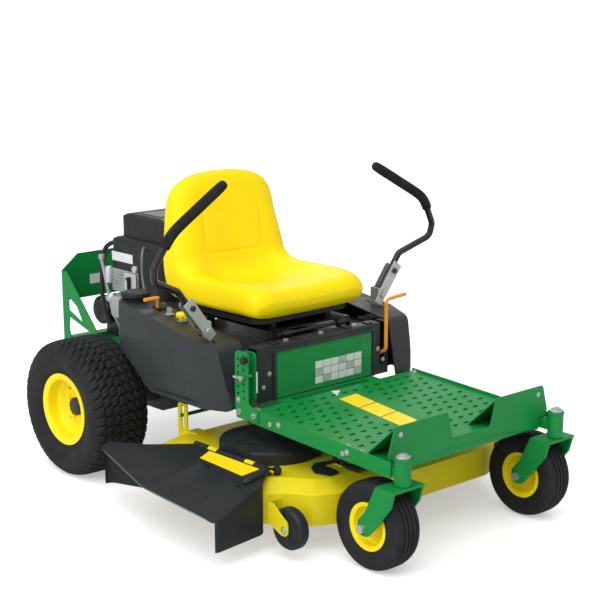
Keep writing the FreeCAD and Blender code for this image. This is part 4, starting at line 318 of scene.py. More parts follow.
def lathe(name, start, direction, profile, look, body, steps=32):
    """Turned piece: profile holds (along, radius) in millimetres from start along direction."""
    direction = direction.normalized()
    side = direction.orthogonal().normalized()
    other = direction.cross(side)
    vertices = []
    for along, radius in profile:
        for i in range(steps):
            angle = 2 * math.pi * i / steps
            spoke = side * math.cos(angle) + other * math.sin(angle)
            vertices.append(start + direction * (along / 1000) + spoke * (radius / 1000))
    rows = len(profile)
    faces = []
    for r in range(rows - 1):
        for i in range(steps):
            j = (i + 1) % steps
            faces.append((r * steps + i, r * steps + j, (r + 1) * steps + j, (r + 1) * steps + i))
    faces.append(tuple(range(steps)))
    faces.append(tuple((rows - 1) * steps + i for i in range(steps)))
    obj = piece(name, vertices, faces, look, body)
    modifier = obj.modifiers.new("shade", "EDGE_SPLIT")
    modifier.split_angle = math.radians(35)
    return obj


def tube(name, points, radius, look, body, resolution=6):
    """Round bar or hose along a smooth line through row-frame points."""
    curve = bpy.data.curves.new(name, "CURVE")
    curve.dimensions = "3D"
    curve.bevel_depth = radius / 1000
    curve.bevel_resolution = 4
    curve.resolution_u = resolution
    curve.use_fill_caps = True
    spline = curve.splines.new("NURBS")
    spline.points.add(len(points) - 1)
    for target, point in zip(spline.points, points):
        target.co = tuple(point) + (1.0,)
    spline.order_u = 3
    spline.use_endpoint_u = True
    line = bpy.data.objects.new(name + ".line", curve)
    bpy.context.scene.collection.objects.link(line)
    bpy.context.view_layer.update()
    mesh = bpy.data.meshes.new_from_object(line)
    bpy.data.objects.remove(line)
    mesh.name = name
    mesh.materials.clear()
    mesh.materials.append(LOOKS[look])
    for face in mesh.polygons:
        face.use_smooth = True
    obj = bpy.data.objects.new(name, mesh)
    bpy.context.scene.collection.objects.link(obj)
    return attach(obj, body)


def screw(name, spot, direction, look, body, radius=8.0, height=5.0):
    """Domed screw head with a washer face."""
    profile = [(0, radius * 1.35), (1.2, radius * 1.35), (1.3, radius), (height * 0.7, radius * 0.92),
               (height, radius * 0.5)]
    return lathe(name, spot, direction, profile, look, body, steps=20)


def joined(name, pieces, body):
    """One object out of several pieces of one body."""
    for obj in bpy.context.view_layer.objects:
        obj.select_set(False)
    for obj in pieces:
        obj.select_set(True)
    bpy.context.view_layer.objects.active = pieces[0]
    bpy.ops.object.convert(target="MESH")
    bpy.ops.object.join()
    result = bpy.context.view_layer.objects.active
    result.name = name
    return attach(result, body)


# ---- studio -------------------------------------------------------------------------------------
CAMERA_AT = (4120.9, -3205.1, 1667.5)
CAMERA_AIM = (600.0, 0.0, 350.0)
LENS_MM = 90.61
SHIFT_X = -0.0054
SHIFT_Y = 0.1358
WORLD_LIGHT = 0.62
FLOOR_LIFT = 0.42


def aim(obj, target):
    obj.rotation_euler = (target - obj.location).to_track_quat("-Z", "Y").to_euler()


def add_camera():
    data = bpy.data.cameras.new("camera")
    data.lens = LENS_MM
    data.sensor_width = 36.0
    data.shift_x = SHIFT_X
    data.shift_y = SHIFT_Y
    data.clip_end = 100
    camera = bpy.data.objects.new("camera", data)
    bpy.context.scene.collection.objects.link(camera)
    camera.location = place(*CAMERA_AT)
    aim(camera, place(*CAMERA_AIM))
    bpy.context.scene.camera = camera


def add_lamp(name, location, size, power, target=(0.1, 0.0, 0.4)):
    data = bpy.data.lights.new(name, "AREA")
    data.shape = "DISK"
    data.size = size
    data.energy = power
    lamp = bpy.data.objects.new(name, data)
    bpy.context.scene.collection.objects.link(lamp)
    lamp.location = location
    aim(lamp, Vector(target))


def add_sun(name, location, spread, strength):
    """Even light over the whole floor; spread softens its shadows."""
    data = bpy.data.lights.new(name, "SUN")
    data.angle = math.radians(spread)
    data.energy = strength
    lamp = bpy.data.objects.new(name, data)
    bpy.context.scene.collection.objects.link(lamp)
    lamp.location = location
    aim(lamp, Vector((0, 0, 0)))


def add_studio():
    scene = bpy.context.scene
    scene.view_settings.view_transform = "Standard"
    world = bpy.data.worlds.new("world")
    scene.world = world
    world.use_nodes = True
    tree = world.node_tree
    background = tree.nodes["Background"]
    background.inputs["Color"].default_value = (1, 1, 1, 1)
    path = tree.nodes.new("ShaderNodeLightPath")
    strength = tree.nodes.new("ShaderNodeMapRange")
    strength.inputs["To Min"].default_value = WORLD_LIGHT
    strength.inputs["To Max"].default_value = 1.0
    tree.links.new(path.outputs["Is Camera Ray"], strength.inputs["Value"])
    tree.links.new(strength.outputs["Result"], background.inputs["Strength"])
    add_sun("key", (1.6, -2.4, 5.2), 50, 1.5)
    add_lamp("side", (0.6, -5.0, 2.4), 2.6, 70)
    add_lamp("rim", (-3.6, 3.2, 3.6), 2.4, 40)
    piece_floor()


def piece_floor():
    """Pale plain floor; its camera-only lift keeps the unshadowed part white out to the horizon."""
    mesh = bpy.data.meshes.new("floor")
    size = 200.0
    mesh.from_pydata([(-size, -size, 0), (size, -size, 0), (size, size, 0), (-size, size, 0)], [],
                     [(0, 1, 2, 3)])
    material = bpy.data.materials.new("floor")
    material.use_nodes = True
    tree = material.node_tree
    shader = tree.nodes["Principled BSDF"]
    shader.inputs["Base Color"].default_value = (0.8, 0.8, 0.8, 1)
    shader.inputs["Roughness"].default_value = 1.0
    shader.inputs["Specular IOR Level"].default_value = 0.0
    shader.inputs["Emission Color"].default_value = (1, 1, 1, 1)
    path = tree.nodes.new("ShaderNodeLightPath")
    lift = tree.nodes.new("ShaderNodeMath")
    lift.operation = "MULTIPLY"
    lift.inputs[1].default_value = FLOOR_LIFT
    tree.links.new(path.outputs["Is Camera Ray"], lift.inputs[0])
    tree.links.new(lift.outputs["Value"], shader.inputs["Emission Strength"])
    mesh.materials.append(material)
    floor = bpy.data.objects.new("floor", mesh)
    bpy.context.scene.collection.objects.link(floor)
    return floor


# ---- seat ---------------------------------------------------------------------------------------
# Stations along the seat's middle, from the front lip to the top of the back:
# (x, z) of the upper skin, (x, z) of the lower or rear skin, half width.
SEAT_STATIONS = [(652, 622, 640, 604, 196), (654, 646, 622, 590, 226), (640, 670, 596, 586, 238),
                 (605, 682, 560, 586, 243), (540, 680, 510, 586, 245), (450, 669, 440, 586, 245),
                 (365, 664, 330, 586, 245), (312, 672, 232, 588, 245), (286, 696, 176, 604, 244),
                 (271, 730, 150, 648, 242), (261, 775, 134, 706, 236), (252, 825, 127, 770, 227),
                 (243, 872, 124, 836, 219), (233, 920, 126, 896, 213), (222, 960, 134, 948, 205),
                 (208, 988, 148, 984, 190), (190, 1001, 162, 1000, 160)]
PANEL_HALF = 122.0
PANEL_LOW = 742.0
PANEL_HIGH = 915.0
PANEL_ROUND = 34.0
WAIST_AT = 0.42         # where along the stations the cushion turns up into the back
WING_RISE = 38.0        # how far the sides stand up there
TOP_DROP = 34.0         # how far the back's top corners lie below its middle


def spline_at(rows, t):
    """Catmull-Rom value of a list of tuples at t from 0 to 1."""
    spot = t * (len(rows) - 1)
    i = min(int(spot), len(rows) - 2)
    f = spot - i
    a, b = rows[max(i - 1, 0)], rows[i]
    c, d = rows[i + 1], rows[min(i + 2, len(rows) - 1)]
    values = []
    for p0, p1, p2, p3 in zip(a, b, c, d):
        values.append(0.5 * (2 * p1 + (p2 - p0) * f + (2 * p0 - 5 * p1 + 4 * p2 - p3) * f * f
                             + (3 * p1 - p0 - 3 * p2 + p3) * f ** 3))
    return values


def smooth_step(value, low, high):
    share = max(0.0, min(1.0, (value - low) / (high - low)))
    return share * share * (3 - 2 * share)


def panel_groove(y, z):
    """Depth of the pressed line round the back's middle panel."""
    sideways = abs(y) - (PANEL_HALF - PANEL_ROUND)
    down = PANEL_LOW + PANEL_ROUND - z
    if sideways > 0 and down > 0:
        off = math.hypot(sideways, down) - PANEL_ROUND
    elif down > 0:
        off = down - PANEL_ROUND
    else:
        off = sideways - PANEL_ROUND
    if down > 0 and sideways <= 0:
        off = down - PANEL_ROUND
    fade = max(0.0, min(1.0, (PANEL_HIGH - z) / 60))
    return 3.4 * math.exp(-(off / 4.5) ** 2) * fade


def seat_contour(y, half, z, t):
    """How far the upper skin stands off its middle line at y: bolsters, hollow and sewn lines."""
    share = abs(y) / half
    bolster = 9.0 * math.exp(-((share - 0.78) / 0.2) ** 2)
    hollow = -7.0 * math.exp(-(share / 0.45) ** 2)
    weight = max(0.0, 1 - abs(t - 0.42) / 0.5)
    lift = (bolster + hollow) * (0.35 + 0.65 * weight)
    if t > 0.5:
        lift -= panel_groove(y, z)
    wing = (smooth_step(t, 0.08, WAIST_AT) if t < WAIST_AT
            else 1 - smooth_step(t, WAIST_AT, WAIST_AT + 0.16))
    lift += WING_RISE * smooth_step(share, 0.4, 1.0) * wing
    ripple = math.exp(-((t - 0.335 - 0.05 * share * share) / 0.006) ** 2)
    if 0.25 < share < 0.8:
        lift -= 1.4 * ripple
    return lift


def seat_ring(t, count):
    ax, az, bx, bz, half = spline_at(SEAT_STATIONS, t)
    middle = Vector(((ax + bx) / 2, 0, (az + bz) / 2))
    up = Vector((ax - bx, 0, az - bz)) / 2
    thick = up.length
    ring = []
    for k in range(count):
        angle = 2 * math.pi * k / count
        c, s = math.cos(angle), math.sin(angle)
        y = half * math.copysign(abs(c) ** 0.42, c)
        height = math.copysign(abs(s) ** 0.62, s)
        if s > 0:
            height += seat_contour(y, half, az, t) / thick * min(1.0, s * 3)
        point = middle + up * height
        drop = TOP_DROP * (abs(y) / 205.0) ** 2.2 * smooth_step(t, 0.6, 1.0)
        ring.append(place(point.x, y * (1 - 0.05 * smooth_step(t, 0.85, 1.0)), point.z - drop))
    return ring


def add_seat():
    rings, count = 190, 200
    vertices = []
    for r in range(rings):
        vertices += seat_ring(r / (rings - 1), count)
    faces = []
    for r in range(rings - 1):
        for k in range(count):
            j = (k + 1) % count
            faces.append((r * count + k, r * count + j, (r + 1) * count + j, (r + 1) * count + k))
    for r in (0, rings - 1):
        middle = sum((vertices[r * count + k] for k in range(count)), Vector()) / count
        vertices.append(middle)
        faces += [(len(vertices) - 1, r * count + k, r * count + (k + 1) % count) for k in range(count)]
    seat = piece("seat_upholstery", vertices, faces, "vinyl", "seat")
    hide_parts("seat_cushion")


# ---- tyres --------------------------------------------------------------------------------------
TYRE_PROFILE = [(123, 88.5), (140, 96), (158, 103), (176, 106), (192, 105.5), (206, 102.5), (217, 97),
                (224.5, 88), (228.5, 76), (230.5, 58), (231, 36), (231, 12)]
TREAD_BLOCKS = 44
TREAD_ROWS = 7.0
TREAD_DEPTH = 8.0


def tread_cut(turn, y):
    """Depth of the turf tread's grooves at a share of a turn and an offset from the middle."""
    band = (y / 104 + 1) / 2 * TREAD_ROWS
    row = math.floor(band)
    across = band - row
    lean = abs(y) / 104 * 1.6
    along = (turn * TREAD_BLOCKS + 0.5 * (row % 2) + lean) % 1.0
    edge = min(across, 1 - across) * 2
    cross = min(along, 1 - along) * 2
    return 1 - min(edge / 0.16, cross / 0.24, 1.0) ** 5


def add_rear_tyre(side, sign):
    half = TYRE_PROFILE[:]
    across = []
    for i in range(len(half) - 1):
        steps = 3 if i < 4 else 5
        for k in range(steps):
            f = k / steps
            across.append((half[i][0] + (half[i + 1][0] - half[i][0]) * f,
                           half[i][1] + (half[i + 1][1] - half[i][1]) * f))
    across += [(231, 12), (231, 7), (231, 2.5)]
    full = across + [(r, -y) for r, y in reversed(across)]
    around = TREAD_BLOCKS * 12
    hub = centre("rear_tyre_" + side)
    vertices, faces = [], []
    for i in range(around):
        turn = i / around
        angle = 2 * math.pi * turn
        for r, y in full:
            depth = tread_cut(turn, y) * TREAD_DEPTH if r > 208 else 0.0
            if 150 < r < 200:
                depth += 1.2 * math.exp(-((r - 178) / 2.5) ** 2)
            radius = (r - depth) / 1000
            vertices.append(hub + Vector((radius * math.cos(angle), sign * y / 1000,
                                          radius * math.sin(angle))))
    width = len(full)
    for i in range(around):
        j = (i + 1) % around
        faces += [(i * width + k, i * width + k + 1, j * width + k + 1, j * width + k)
                  for k in range(width - 1)]
    tyre = piece("turf_tyre_" + side, vertices, faces, "tyre", "rear_wheel_" + side)
    wall = tyre.modifiers.new("wall", "SOLIDIFY")
    wall.thickness = 0.006
    wall.offset = -1.0
    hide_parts("rear_tyre_" + side)


def add_wheel_trim(side, sign):
    body = "rear_wheel_" + side
    hub = centre("rear_tyre_" + side)
    face = hub + Vector((0, sign * 0.037, 0))
    outward = Vector((0, sign, 0))
    cap = [(0, 31), (8, 31), (12, 28), (14, 20), (15, 0.5)]
    lathe("hub_cap_" + side, face, outward, cap, "black", body, steps=36)
    stem_at = hub + Vector((0.06, sign * 0.052, 0.052))
    lathe("valve_" + side, stem_at, Vector((0, sign, 0)), [(-14, 4), (0, 4), (1, 3), (14, 3), (15, 0.5)],
          "plastic", body, steps=14)


# ---- grips and levers ---------------------------------------------------------------------------
BAR_POINTS = [(560, 380, 580), (562, 478, 712), (596, 592, 762), (604, 596, 806), (616, 537, 904),
              (597, 322, 1026)]
GRIP_START = 0.55


def add_grip(side, sign):
    """Foam sleeve over the lap bar's last bend, with a rounded tip and a rolled lower lip."""
    before, bend, tip = [Vector((x, sign * y, z)) for x, y, z in BAR_POINTS[-3:]]
    start = before + (bend - before) * GRIP_START
    down = (bend - before).normalized()
    along = (tip - bend).normalized()
    reach = 26.0
    line = [start, start + down * 8, bend - down * reach, bend - down * 8 + along * 8,
            bend + along * reach]
    line += [bend + along * (tip - bend).length * f for f in (0.4, 0.6, 0.8)]
    line += [tip, tip + along * 6]
    path = [place(*p) for p in line]
    vertices, faces, steps = [], [], 28
    radii = [15.0, 16.5, 16.5, 16.5, 16.5, 16.5, 16.5, 16.5, 16.0, 11.0]
    for i, (spot, radius) in enumerate(zip(path, radii)):
        ahead = (path[min(i + 1, len(path) - 1)] - path[max(i - 1, 0)]).normalized()
        side_way = ahead.cross(Vector((1, 0, 0))).normalized()
        other = ahead.cross(side_way)
        for k in range(steps):
            angle = 2 * math.pi * k / steps
            vertices.append(spot + (side_way * math.cos(angle) + other * math.sin(angle)) * (radius / 1000))
    for i in range(len(path) - 1):
        for k in range(steps):
            j = (k + 1) % steps
            faces.append((i * steps + k, i * steps + j, (i + 1) * steps + j, (i + 1) * steps + k))
    faces.append(tuple(range(steps)))
    faces.append(tuple((len(path) - 1) * steps + k for k in range(steps)))
    grip = piece("foam_grip_" + side, vertices, faces, "foam", "lap_bar_" + side)
    smooth = grip.modifiers.new("smooth", "SUBSURF")
    smooth.levels = 2
    smooth.render_levels = 2
    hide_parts("lap_grip_" + side)


def add_arm_plate(side, sign):
    """Bright zinc face of the control arm in front of the lap bar's foot, with its two holes."""
    foot, bend = [Vector((0, y, z)) for _, y, z in BAR_POINTS[:2]]
    rise = (bend - foot).normalized()
    across = Vector((0, rise.z, -rise.y))
    body = "control_arm_" + side
    corners = [(-34, -17), (-34, 17), (126, 21), (126, -19)]
    points = []
    for along, out in corners:
        spot = foot + rise * along + across * out
        points.append(place(579.2, sign * spot.y, spot.z))
    solid("arm_face_" + side, points, Vector((0.003, 0, 0)), "zinc", body, 1.2)
    for i, along in enumerate((0, 96)):
        spot = foot + rise * along
        lathe("arm_stud_%s_%d" % (side, i), place(582.2, sign * spot.y, spot.z), Vector((1, 0, 0)),
              [(0, 9), (5, 9), (7, 7), (7.2, 1)], "zinc" if i == 0 else "black", body, steps=18)


def pod_top(x):
    """Height of the pods' sloping top at x."""
    return 603.0 - (x - 182.0) * 75.0 / 518.0


THROTTLE_AT = (264.0, -333.0)


def add_console():
    """Trim on the right pod: throttle slot and rod, switch ring, knob ribs and key ring."""
    top = pod_top(264)
    frame_bars = ((236, 246, -346, -320), (282, 292, -346, -320), (236, 292, -346, -341),
                  (236, 292, -325, -320))
    bars = [block("bezel_%d" % i, x0, x1, y0, y1, top - 5, top + 2.5, "plastic", "chassis", 0.8)
            for i, (x0, x1, y0, y1) in enumerate(frame_bars)]
    joined("throttle_bezel", bars, "chassis")
    lathe("throttle_rod", place(*THROTTLE_AT, top + 9), Vector((0, 0, 1)), [(0, 4.5), (19, 4.5), (20, 3)],
          "zinc", "throttle", steps=16)
    knob = centre("pto_knob")
    base = Vector((knob.x, knob.y, place(0, 0, pod_top(400)).z))
    lathe("switch_ring", base + Vector((0, 0, 0.0006)), Vector((0, 0, 1)), [(0, 17), (3, 17), (4, 15)],
          "zinc", "chassis", steps=28)
    wings = []
    for i in range(6):
        angle = math.pi / 3 * i
        spot = Vector((knob.x, knob.y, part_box("pto_knob")[1].z - 0.019))
        out = Vector((math.cos(angle), math.sin(angle), 0))
        wings.append(lathe("knob_rib_%d" % i, spot + out * 0.0155, Vector((0, 0, 1)),
                           [(0, 2), (1, 4.4), (12, 4.4), (14, 2)], "amber", "blade_clutch_knob",
                           steps=12))
    joined("knob_grip", wings, "blade_clutch_knob")
    key = centre("ignition_key")
    lock = Vector((key.x, key.y, place(0, 0, pod_top(334) + 0.8).z))
    lathe("key_ring", lock, Vector((0, 0, 1)), [(0, 15), (2.4, 15), (3.4, 12.5)], "zinc", "chassis",
          steps=28)


def add_tank_cap():
    low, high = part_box("fuel_cap")
    middle = (low + high) / 2
    base = Vector((middle.x, middle.y, low.z))
    ribs = []
    for i in range(24):
        angle = 2 * math.pi * i / 24
        out = Vector((math.cos(angle), math.sin(angle), 0))
        ribs.append(lathe("cap_rib_%d" % i, base + out * 0.0455 + Vector((0, 0, 0.003)),
                          Vector((0, 0, 1)), [(0, 1.0), (1, 1.9), (12, 1.9), (14, 0.8)], "plastic",
                          "tank_cap", steps=8))
    joined("cap_grip", ribs, "tank_cap")


# ---- panel, pods and platform -------------------------------------------------------------------
PANEL_X = 705.0
PANEL_TOP = 528.0


def floor_z(x):
    """Top of the foot platform at x."""
    return surface("foot_platform", x, 150 if x < 1235 else 40, 372)


def add_front_panel():
    block("panel_film", PANEL_X - 1, PANEL_X + 0.9, -207, 207, 356, 503, "leaf", "chassis", 0.3)
    cells = []
    for row in range(3):
        for column in range(6):
            y0 = -44 + column * 34.5
            z0 = 372 + row * 25
            look = "silver" if (row + column) % 4 == 1 else "white"
            cells.append(block("panel_cell_%d_%d" % (row, column), PANEL_X - 1, PANEL_X + 1.5, y0,
                               y0 + 32.5, z0, z0 + 23, look, "chassis", 0.2))
    joined("panel_chart", cells, "chassis")
    for i, y in enumerate((-238, -262, 238, 262)):
        z = 440 if abs(y) < 250 else 400
        screw("panel_screw_%d" % i, place(PANEL_X, y, z), Vector((1, 0, 0)), "zinc", "chassis", 6, 4)
    for i, y in enumerate((-205, -110, 110, 205)):
        block("ledge_clip_%d" % i, 672, 700, y - 13, y + 13, PANEL_TOP - 1, PANEL_TOP + 5, "plastic",
              "chassis", 2)


LANCE_PITCH_X = 43.0
LANCE_PITCH_Y = 47.0
LANCE_START_X = 792.0
LANCE_ROWS = 11
RAIL_SIDE_Y = 355.0
FLOOR_BOLT_Y = 343.0
TOE_FACE_X = 1332.8


def add_platform_tread():
    """Pressed lances in the floor with dark wedges of painted shade in their slots, the yellow strip and
    the white mark.
    """
    raised, slot_shade = ([], []), ([], [])

    def wedge(store, x, y, z, length, width, low, high):
        vertices, faces = store
        start = len(vertices)
        for dx, level in ((-length / 2, low), (length / 2, high)):
            vertices += [place(x + dx, y - width / 2, z + level),
                         place(x + dx, y + width / 2, z + level)]
        vertices += [place(x + length / 2, y - width / 2, z - 0.6),
                     place(x + length / 2, y + width / 2, z - 0.6)]
        faces += [tuple(start + i for i in face) for face in
                  ((0, 1, 3, 2), (2, 3, 5, 4), (0, 2, 4), (1, 5, 3), (0, 4, 5, 1))]

    for i in range(LANCE_ROWS):
        x = LANCE_START_X + i * LANCE_PITCH_X
        for k in range(-7, 8):
            y = (k + (0.5 if i % 2 else 0.0)) * LANCE_PITCH_Y
            on_strip = -112 < y < 52 and 800 < x < 1160
            if abs(y) < 322 and not on_strip:
                z = floor_z(x)
                wedge(raised, x, y, z, 9, 17, -0.4, 3.0)
                # Painted shade: a thin dark green wedge behind each lance stands for the shadow in its
                # slot.
                wedge(slot_shade, x + 6.2, y, z, 4.5, 16, 0.3, 0.5)
    piece("platform_lances", *raised, "green", "chassis", smooth=False)
    piece("platform_slot_shade", *slot_shade, "slot", "chassis", smooth=False)
    strip = [(833, -59), (826, 22), (1124, -11), (1139, -90)]
    outline = [place(x, y, floor_z(x) - 0.3) for x, y in strip]
    solid("platform_strip", outline, Vector((0, 0, 0.0013)), "amber", "chassis")
    lines = []
    for i, ((x0, y0), (x1, y1)) in enumerate((((932, -70), (924, 11)), ((1035, -80), (1025, 0)))):
        line = [place(x0, y0, floor_z(x0) + 0.9), place(x0 + 4, y0, floor_z(x0 + 4) + 0.9),
                place(x1 + 4, y1, floor_z(x1 + 4) + 0.9), place(x1, y1, floor_z(x1) + 0.9)]
        lines.append(solid("strip_line_%d" % i, line, Vector((0, 0, 0.0003)), "plastic", "chassis"))
    joined("strip_lines", lines, "chassis")
    mark = [(758, -24), (806, -44), (771, 4)]
    outline = [place(x, y, floor_z(max(x, 760)) - 0.4) for x, y in mark]
    solid("platform_mark", outline, Vector((0, 0, 0.0013)), "white", "chassis")
    for side in (1, -1):
        for i, x in enumerate((880, 1175)):
            screw("rail_screw_%d_%d" % (side, i), place(x, side * RAIL_SIDE_Y, floor_z(x) - 12),
                  Vector((0, side, 0)), "zinc", "chassis", 7, 5)
        for i, x in enumerate((775, 1165, 1222)):
            screw("floor_bolt_%d_%d" % (side, i), place(x, side * FLOOR_BOLT_Y, floor_z(x) - 0.2),
                  Vector((0, 0, 1)), "zinc", "chassis", 8, 7)
        for i, (y, z) in enumerate(((352, 318), (300, 402))):
            screw("toe_bolt_%d_%d" % (side, i), place(TOE_FACE_X, side * min(y, 338), z),
                  Vector((1, 0, 0)), "zinc", "chassis", 6, 4)


GATE_SIDE_Y = -359.0


def add_gate_trim():
    block("gate_bar", 744, 748, -326, -322, 404, 470, "white", "chassis", 0.5)
    lathe("gate_knob", place(738, GATE_SIDE_Y, 512), Vector((0, -1, 0)),
          [(0, 8), (6, 10), (12, 12), (18, 11), (20, 6)], "plastic", "chassis", steps=20)
    for i, (x, z) in enumerate(((704, 342), (772, 342), (700, 380))):
        screw("gate_screw_%d" % i, place(x, GATE_SIDE_Y, z), Vector((0, -1, 0)), "zinc", "chassis", 7, 5)


CASTER_PIVOT_X = 1377.0
CASTER_PIVOT_Y = 334.4


def add_frame_caps():
    for side in (1, -1):
        name = "caster_swivel_left" if side > 0 else "caster_swivel_right"
        top = place(CASTER_PIVOT_X, side * CASTER_PIVOT_Y, 360.3)
        lathe("cap_%s" % ("left" if side > 0 else "right"), top, Vector((0, 0, 1)),
              [(0, 13), (3, 12.5), (5, 9), (5.6, 1)], "zinc", name, steps=28)
        lathe("tube_lip_%d" % side, place(CASTER_PIVOT_X, side * CASTER_PIVOT_Y, 345), Vector((0, 0, 1)),
              [(0, 24.1), (1, 25.4), (7, 25.4), (8, 24.1)], "green", "chassis", steps=36)


# ---- deck ---------------------------------------------------------------------------------------
SPINDLE_X = 740.0
SPINDLE_Y = 266.0
COVER_SCREW_CIRCLE = 128.0
RIB_POINTS = 7            # points across a chute rib


def add_cover_trim(side):
    """Raised rim, cap and screws of one belt cover."""
    y = side * SPINDLE_Y
    tag = "left" if side > 0 else "right"
    middle = place(SPINDLE_X, y, 0)
    lathe("cover_crown_" + tag, Vector((middle.x, middle.y, place(0, 0, 254).z)), Vector((0, 0, 1)),
          [(-2, 96), (1.5, 96), (4, 90), (4, 60), (1, 56), (-2, 56)], "plastic", "deck", steps=56)
    lathe("cover_cap_" + tag, Vector((middle.x, middle.y, place(0, 0, 253).z)), Vector((0, 0, 1)),
          [(0, 26), (3, 26), (5, 22), (5.5, 4)], "plastic", "deck", steps=32)
    for i, degrees in enumerate((200, 320, 80)):
        angle = math.radians(degrees * side)
        spot = place(SPINDLE_X + COVER_SCREW_CIRCLE * math.cos(angle),
                     y + COVER_SCREW_CIRCLE * math.sin(angle), 247)
        screw("cover_screw_%s_%d" % (tag, i), spot, Vector((0, 0, 1)), "zinc", "deck", 6, 6)


def add_hanger_covers():
    """Black moulded shields in the apron round the two front hangers."""
    for side in (1, -1):
        outline = [(956, 293), (999, 319), (1053, 302), (1049, 263), (1020, 250), (994, 204), (1040, 184),
                   (949, 182), (934, 259)]
        points = [place(x, side * y, 206.5) for x, y in outline]
        solid("hanger_shield_%d" % side, points, Vector((0, 0, 0.0044)), "plastic", "deck", 2)
        low, high = sorted((side * 172, side * 222))
        block("hanger_arm_%d" % side, 1030, 1084, low, high, 207, 219, "plastic", "deck", 3)


CHUTE_RIBS = (((736, -512), (774, -530), (600, -670), (712, -660), (790, -690)),
              ((900, -540), (972, -560), (850, -694), (940, -697), (984, -702)))
RIB_RISE = 24.0


def add_chute_ribs():
    """Two ribs that start in a rounded head near the hinge and open toward the outer edge."""
    for i, (head, foot_head, back, crest, foot) in enumerate(CHUTE_RIBS):
        vertices, faces, steps = [], [], 18
        for k in range(steps + 1):
            f = k / steps
            rise = RIB_RISE * math.sin(math.pi / 2 * min(1.0, f * 5 + 0.05)) * (1 - 0.55 * f)
            lines = ((head, back), (head, crest), (foot_head, foot))
            rear, top, front = [(a[0] + (b[0] - a[0]) * f, a[1] + (b[1] - a[1]) * f) for a, b in lines]
            blend = ((rear, rear, 0.0, -1.5), (rear, top, 0.5, 0.42 * rise),
                     (rear, top, 0.9, 0.93 * rise), (top, top, 0.0, rise), (top, front, 0.1, 0.9 * rise),
                     (top, front, 0.45, 0.2 * rise), (front, front, 0.0, -1.5))
            for a, b, share, lift in blend:
                x, y = a[0] + (b[0] - a[0]) * share, a[1] + (b[1] - a[1]) * share
                vertices.append(place(x, y, surface("discharge_chute", x, max(y, -704)) + lift))
        for k in range(steps):
            near, far = k * RIB_POINTS, (k + 1) * RIB_POINTS
            faces += [(near + j, near + j + 1, far + j + 1, far + j) for j in range(RIB_POINTS - 1)]
        last = steps * RIB_POINTS
        faces += [tuple(range(RIB_POINTS)), tuple(range(last, last + RIB_POINTS))]
        piece("chute_rib_%d" % i, vertices, faces, "plastic", "chute")


def chute_rim(x):
    """Point on the outer edge of the chute's top at x."""
    inside, outside = -590.0, -720.0
    for _ in range(12):
        middle = (inside + outside) / 2
        height = surface("discharge_chute", x, middle)
        if height and height > 140:
            inside = middle
        else:
            outside = middle
    return place(x, inside + 0.8, surface("discharge_chute", x, inside) + 0.3)


def add_chute_trim():
    """Yellow plate by the hinge, the rolled outer edge in lighter grey as a painted highlight, and the
    barrel at the hinge's front end.
    """
    pad = [(664, -448), (676, -494), (886, -504), (900, -448)]
    points = [place(x, y, surface("discharge_chute", x, y) - 0.4) for x, y in pad]
    solid("chute_pad", points, Vector((0, 0, 0.0016)), "amber", "chute")
    edge = [chute_rim(350 + 16 * i) for i in range(40)]
    # Painted highlight: the edge tube is lighter grey than the black chute, for the light along its rim.
    tube("chute_edge", edge, 1.4, "rim_highlight", "chute")
    rear = place(934, -540, surface("discharge_chute", 934, -540) + 5)
    front = place(934, -449, surface("discharge_chute", 934, -449) + 7)
    reach = (front - rear).length * 1000
    lathe("chute_barrel", rear, front - rear, [(0, 4), (6, 10), (14, 13), (reach - 6, 14), (reach, 12)],
          "plastic", "chute", steps=32)
    lathe("hinge_barrel", place(934, -419, 221), Vector((0, 1, 0)),
          [(0, 12), (2, 13.5), (16, 13.5), (20, 10), (21, 1)], "plastic", "deck", steps=32)


BELT_SLICES = 24          # cuts across the belt


def add_mower_belt():
    """The belt, copied from its CAD node and cut across into slices."""
    node = NODES["mower_belt"]
    strip = bmesh.new()
    strip.from_mesh(node.data)
    strip.transform(node.matrix_world)
    low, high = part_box("mower_belt")
    for i in range(1, BELT_SLICES):
        cut = low[0] + (high[0] - low[0]) * i / BELT_SLICES
        bmesh.ops.bisect_plane(strip, geom=strip.verts[:] + strip.edges[:] + strip.faces[:],
                               plane_co=(cut, 0, 0), plane_no=(1, 0, 0))
    mesh = bpy.data.meshes.new("belt_strip")
    strip.to_mesh(mesh)
    strip.free()
    belt = bpy.data.objects.new("belt_strip", mesh)
    bpy.context.collection.objects.link(belt)
    mesh.materials.append(LOOKS[BY_SLOT[SLOT_OF["mower_belt"]]])
    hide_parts("mower_belt")
    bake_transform(belt)


def add_deck_trim():
    for side in (1, -1):
        add_cover_trim(side)
    add_hanger_covers()
    add_chute_ribs()
    add_chute_trim()
    for i, (x, y) in enumerate(((905, -470), (560, -470), (500, 440), (960, 440))):
        z = 207 - max(0.0, (abs(y) - 455)) * 0.5
        screw("deck_screw_%d" % i, place(x, y, z), Vector((0, 0, 1)), "zinc", "deck", 7, 5)
    for side in (1, -1):
        screw("scalp_bolt_%d" % side, place(1074, side * 507, 97), Vector((0, side, 0)), "zinc", "deck",
              9, 6)
        slot = [place(x, side * 507.2, z) for x, z in ((1086, 86), (1092, 86), (1099, 58), (1093, 58))]
        solid("scalp_slot_%d" % side, slot, Vector((0, side * 0.0006, 0)), "plastic", "deck")


